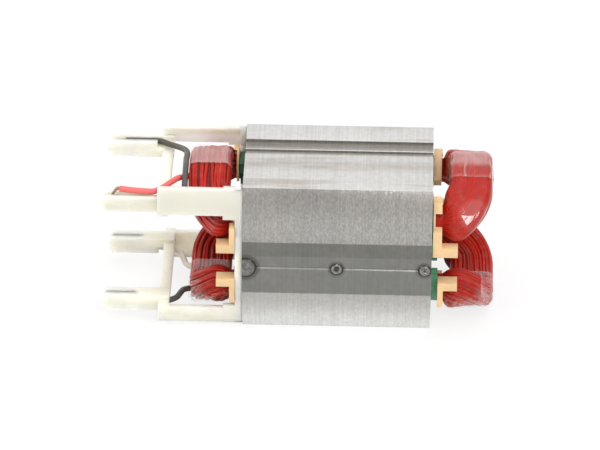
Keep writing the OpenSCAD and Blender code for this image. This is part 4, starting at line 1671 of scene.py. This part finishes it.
@dataclass(frozen=True)
class Lamp:
    """Soft lamp that looks at the middle of the part, in metres and watts."""

    name: str
    place: Point
    width: float
    height: float
    power: float

    def build(self) -> None:
        """Hang the lamp."""
        light = bpy.data.lights.new(self.name, "AREA")
        light.shape = "RECTANGLE"
        light.size = self.width
        light.size_y = self.height
        light.energy = self.power
        lamp = linked(self.name, light)
        lamp.location = self.place
        lamp.rotation_euler = (-Vector(self.place)).to_track_quat("-Z", "Y").to_euler()


@dataclass(frozen=True)
class Studio:
    """Pale floor, soft lamps and the camera, in metres unless named otherwise."""

    floor_z: float = -0.0266
    floor_size: float = 6.0
    floor_tone: Colour = (0.9, 0.9, 0.9)
    white_share: float = 0.8
    sky_strength: float = 0.66
    lamps: tuple[Lamp, ...] = (
        Lamp("top_lamp", (0.05, -0.1, 1.2), 1.6, 1.6, 9.0),
        Lamp("left_lamp", (-1.1, -0.25, 0.5), 0.5, 0.5, 0.5),
        Lamp("back_lamp", (-0.8, 0.9, 0.25), 0.6, 0.6, 1.8),
        Lamp("right_spark", (0.95, -0.85, 0.8), 0.09, 0.38, 2.2),
        Lamp("thin_spark", (0.7, -0.9, 0.87), 0.05, 0.38, 1.2),
        Lamp("middle_spark", (0.3, -0.9, 0.97), 0.16, 0.4, 3.3),
        Lamp("left_spark", (-0.75, -0.9, 0.85), 0.12, 0.34, 2.6),
    )
    lens_mm: float = 294.6
    sensor_mm: float = 36.0
    clip_end: float = 20.0
    distance: float = 1.65
    azimuth_deg: float = 1.43
    elevation_deg: float = 30.74
    roll_deg: float = 0.44
    aim_mm: Point = (-12.9, 0.0, -0.08)

    def build(self) -> None:
        """Set the stage."""
        bpy.context.scene.view_settings.view_transform = "Standard"
        self.floor()
        self.sky()
        for lamp in self.lamps:
            lamp.build()
        self.camera()

    def seen(self, net: Net) -> Socket:
        """Tell the rays that show the background itself: from the camera, a gloss or a clear film.

        Args:
            net: Node tree of the floor or the sky.

        Returns:
            1 for those rays and 0 for others.
        """
        path = net.node("ShaderNodeLightPath").outputs
        direct = net.math("MAXIMUM", path["Is Camera Ray"], path["Is Glossy Ray"])
        return net.math("MAXIMUM", direct, path["Is Transmission Ray"])

    def floor(self) -> None:
        """Lay a pale floor under the part that keeps a faint shadow."""
        deselect()
        bpy.ops.mesh.primitive_plane_add(size=self.floor_size, location=(0.0, 0.0, self.floor_z))
        plane = bpy.context.object
        plane.name = "studio_floor"
        made = bpy.data.materials.new("pale_floor")
        made.use_nodes = True
        net = Net(made.node_tree)
        made.node_tree.nodes.remove(made.node_tree.nodes["Principled BSDF"])
        matt = net.node("ShaderNodeBsdfDiffuse", {"Color": self.floor_tone}).outputs[0]
        white = net.node("ShaderNodeEmission", {"Color": WHITE, "Strength": 1.0}).outputs[0]
        share = net.times(self.seen(net), self.white_share)
        shade = net.node("ShaderNodeMixShader", {0: share, 1: matt, 2: white}).outputs[0]
        net.feed(made.node_tree.nodes["Material Output"].inputs["Surface"], shade)
        plane.data.materials.append(made)

    def sky(self) -> None:
        """Light the part softly from all round, and show white behind it."""
        world = bpy.data.worlds.new("studio_sky")
        bpy.context.scene.world = world
        world.use_nodes = True
        net = Net(world.node_tree)
        background = world.node_tree.nodes["Background"]
        net.feed(background.inputs["Color"], WHITE)
        strength = net.span(self.seen(net), UNIT, (self.sky_strength, 1.0))
        net.feed(background.inputs["Strength"], strength)

    def camera(self) -> None:
        """Place the camera in front of the part, above it and slightly tilted."""
        data = bpy.data.cameras.new("photo_camera")
        data.lens = self.lens_mm
        data.sensor_width = self.sensor_mm
        data.clip_end = self.clip_end
        camera = linked("photo_camera", data)
        rise, round_by = math.radians(self.elevation_deg), math.radians(self.azimuth_deg)
        level = Vector((-math.sin(round_by), math.cos(round_by), 0.0))
        look = level * math.cos(rise) - Vector((0.0, 0.0, math.sin(rise)))
        camera.location = Vector(self.aim_mm) * MM - look * self.distance
        roll = Quaternion((0.0, 0.0, 1.0), math.radians(self.roll_deg))
        camera.rotation_mode = "QUATERNION"
        camera.rotation_quaternion = look.to_track_quat("-Z", "Y") @ roll
        bpy.context.scene.camera = camera


def main() -> None:
    """Dress the field coil and set its stage."""
    logging.basicConfig(level=logging.INFO, format="%(name)s: %(message)s")
    for part in (Stack(), Windings(), Terminals(), Studio()):
        part.build()
        LOG.info("%s built", type(part).__name__)


if __name__ == "__main__":
    main()
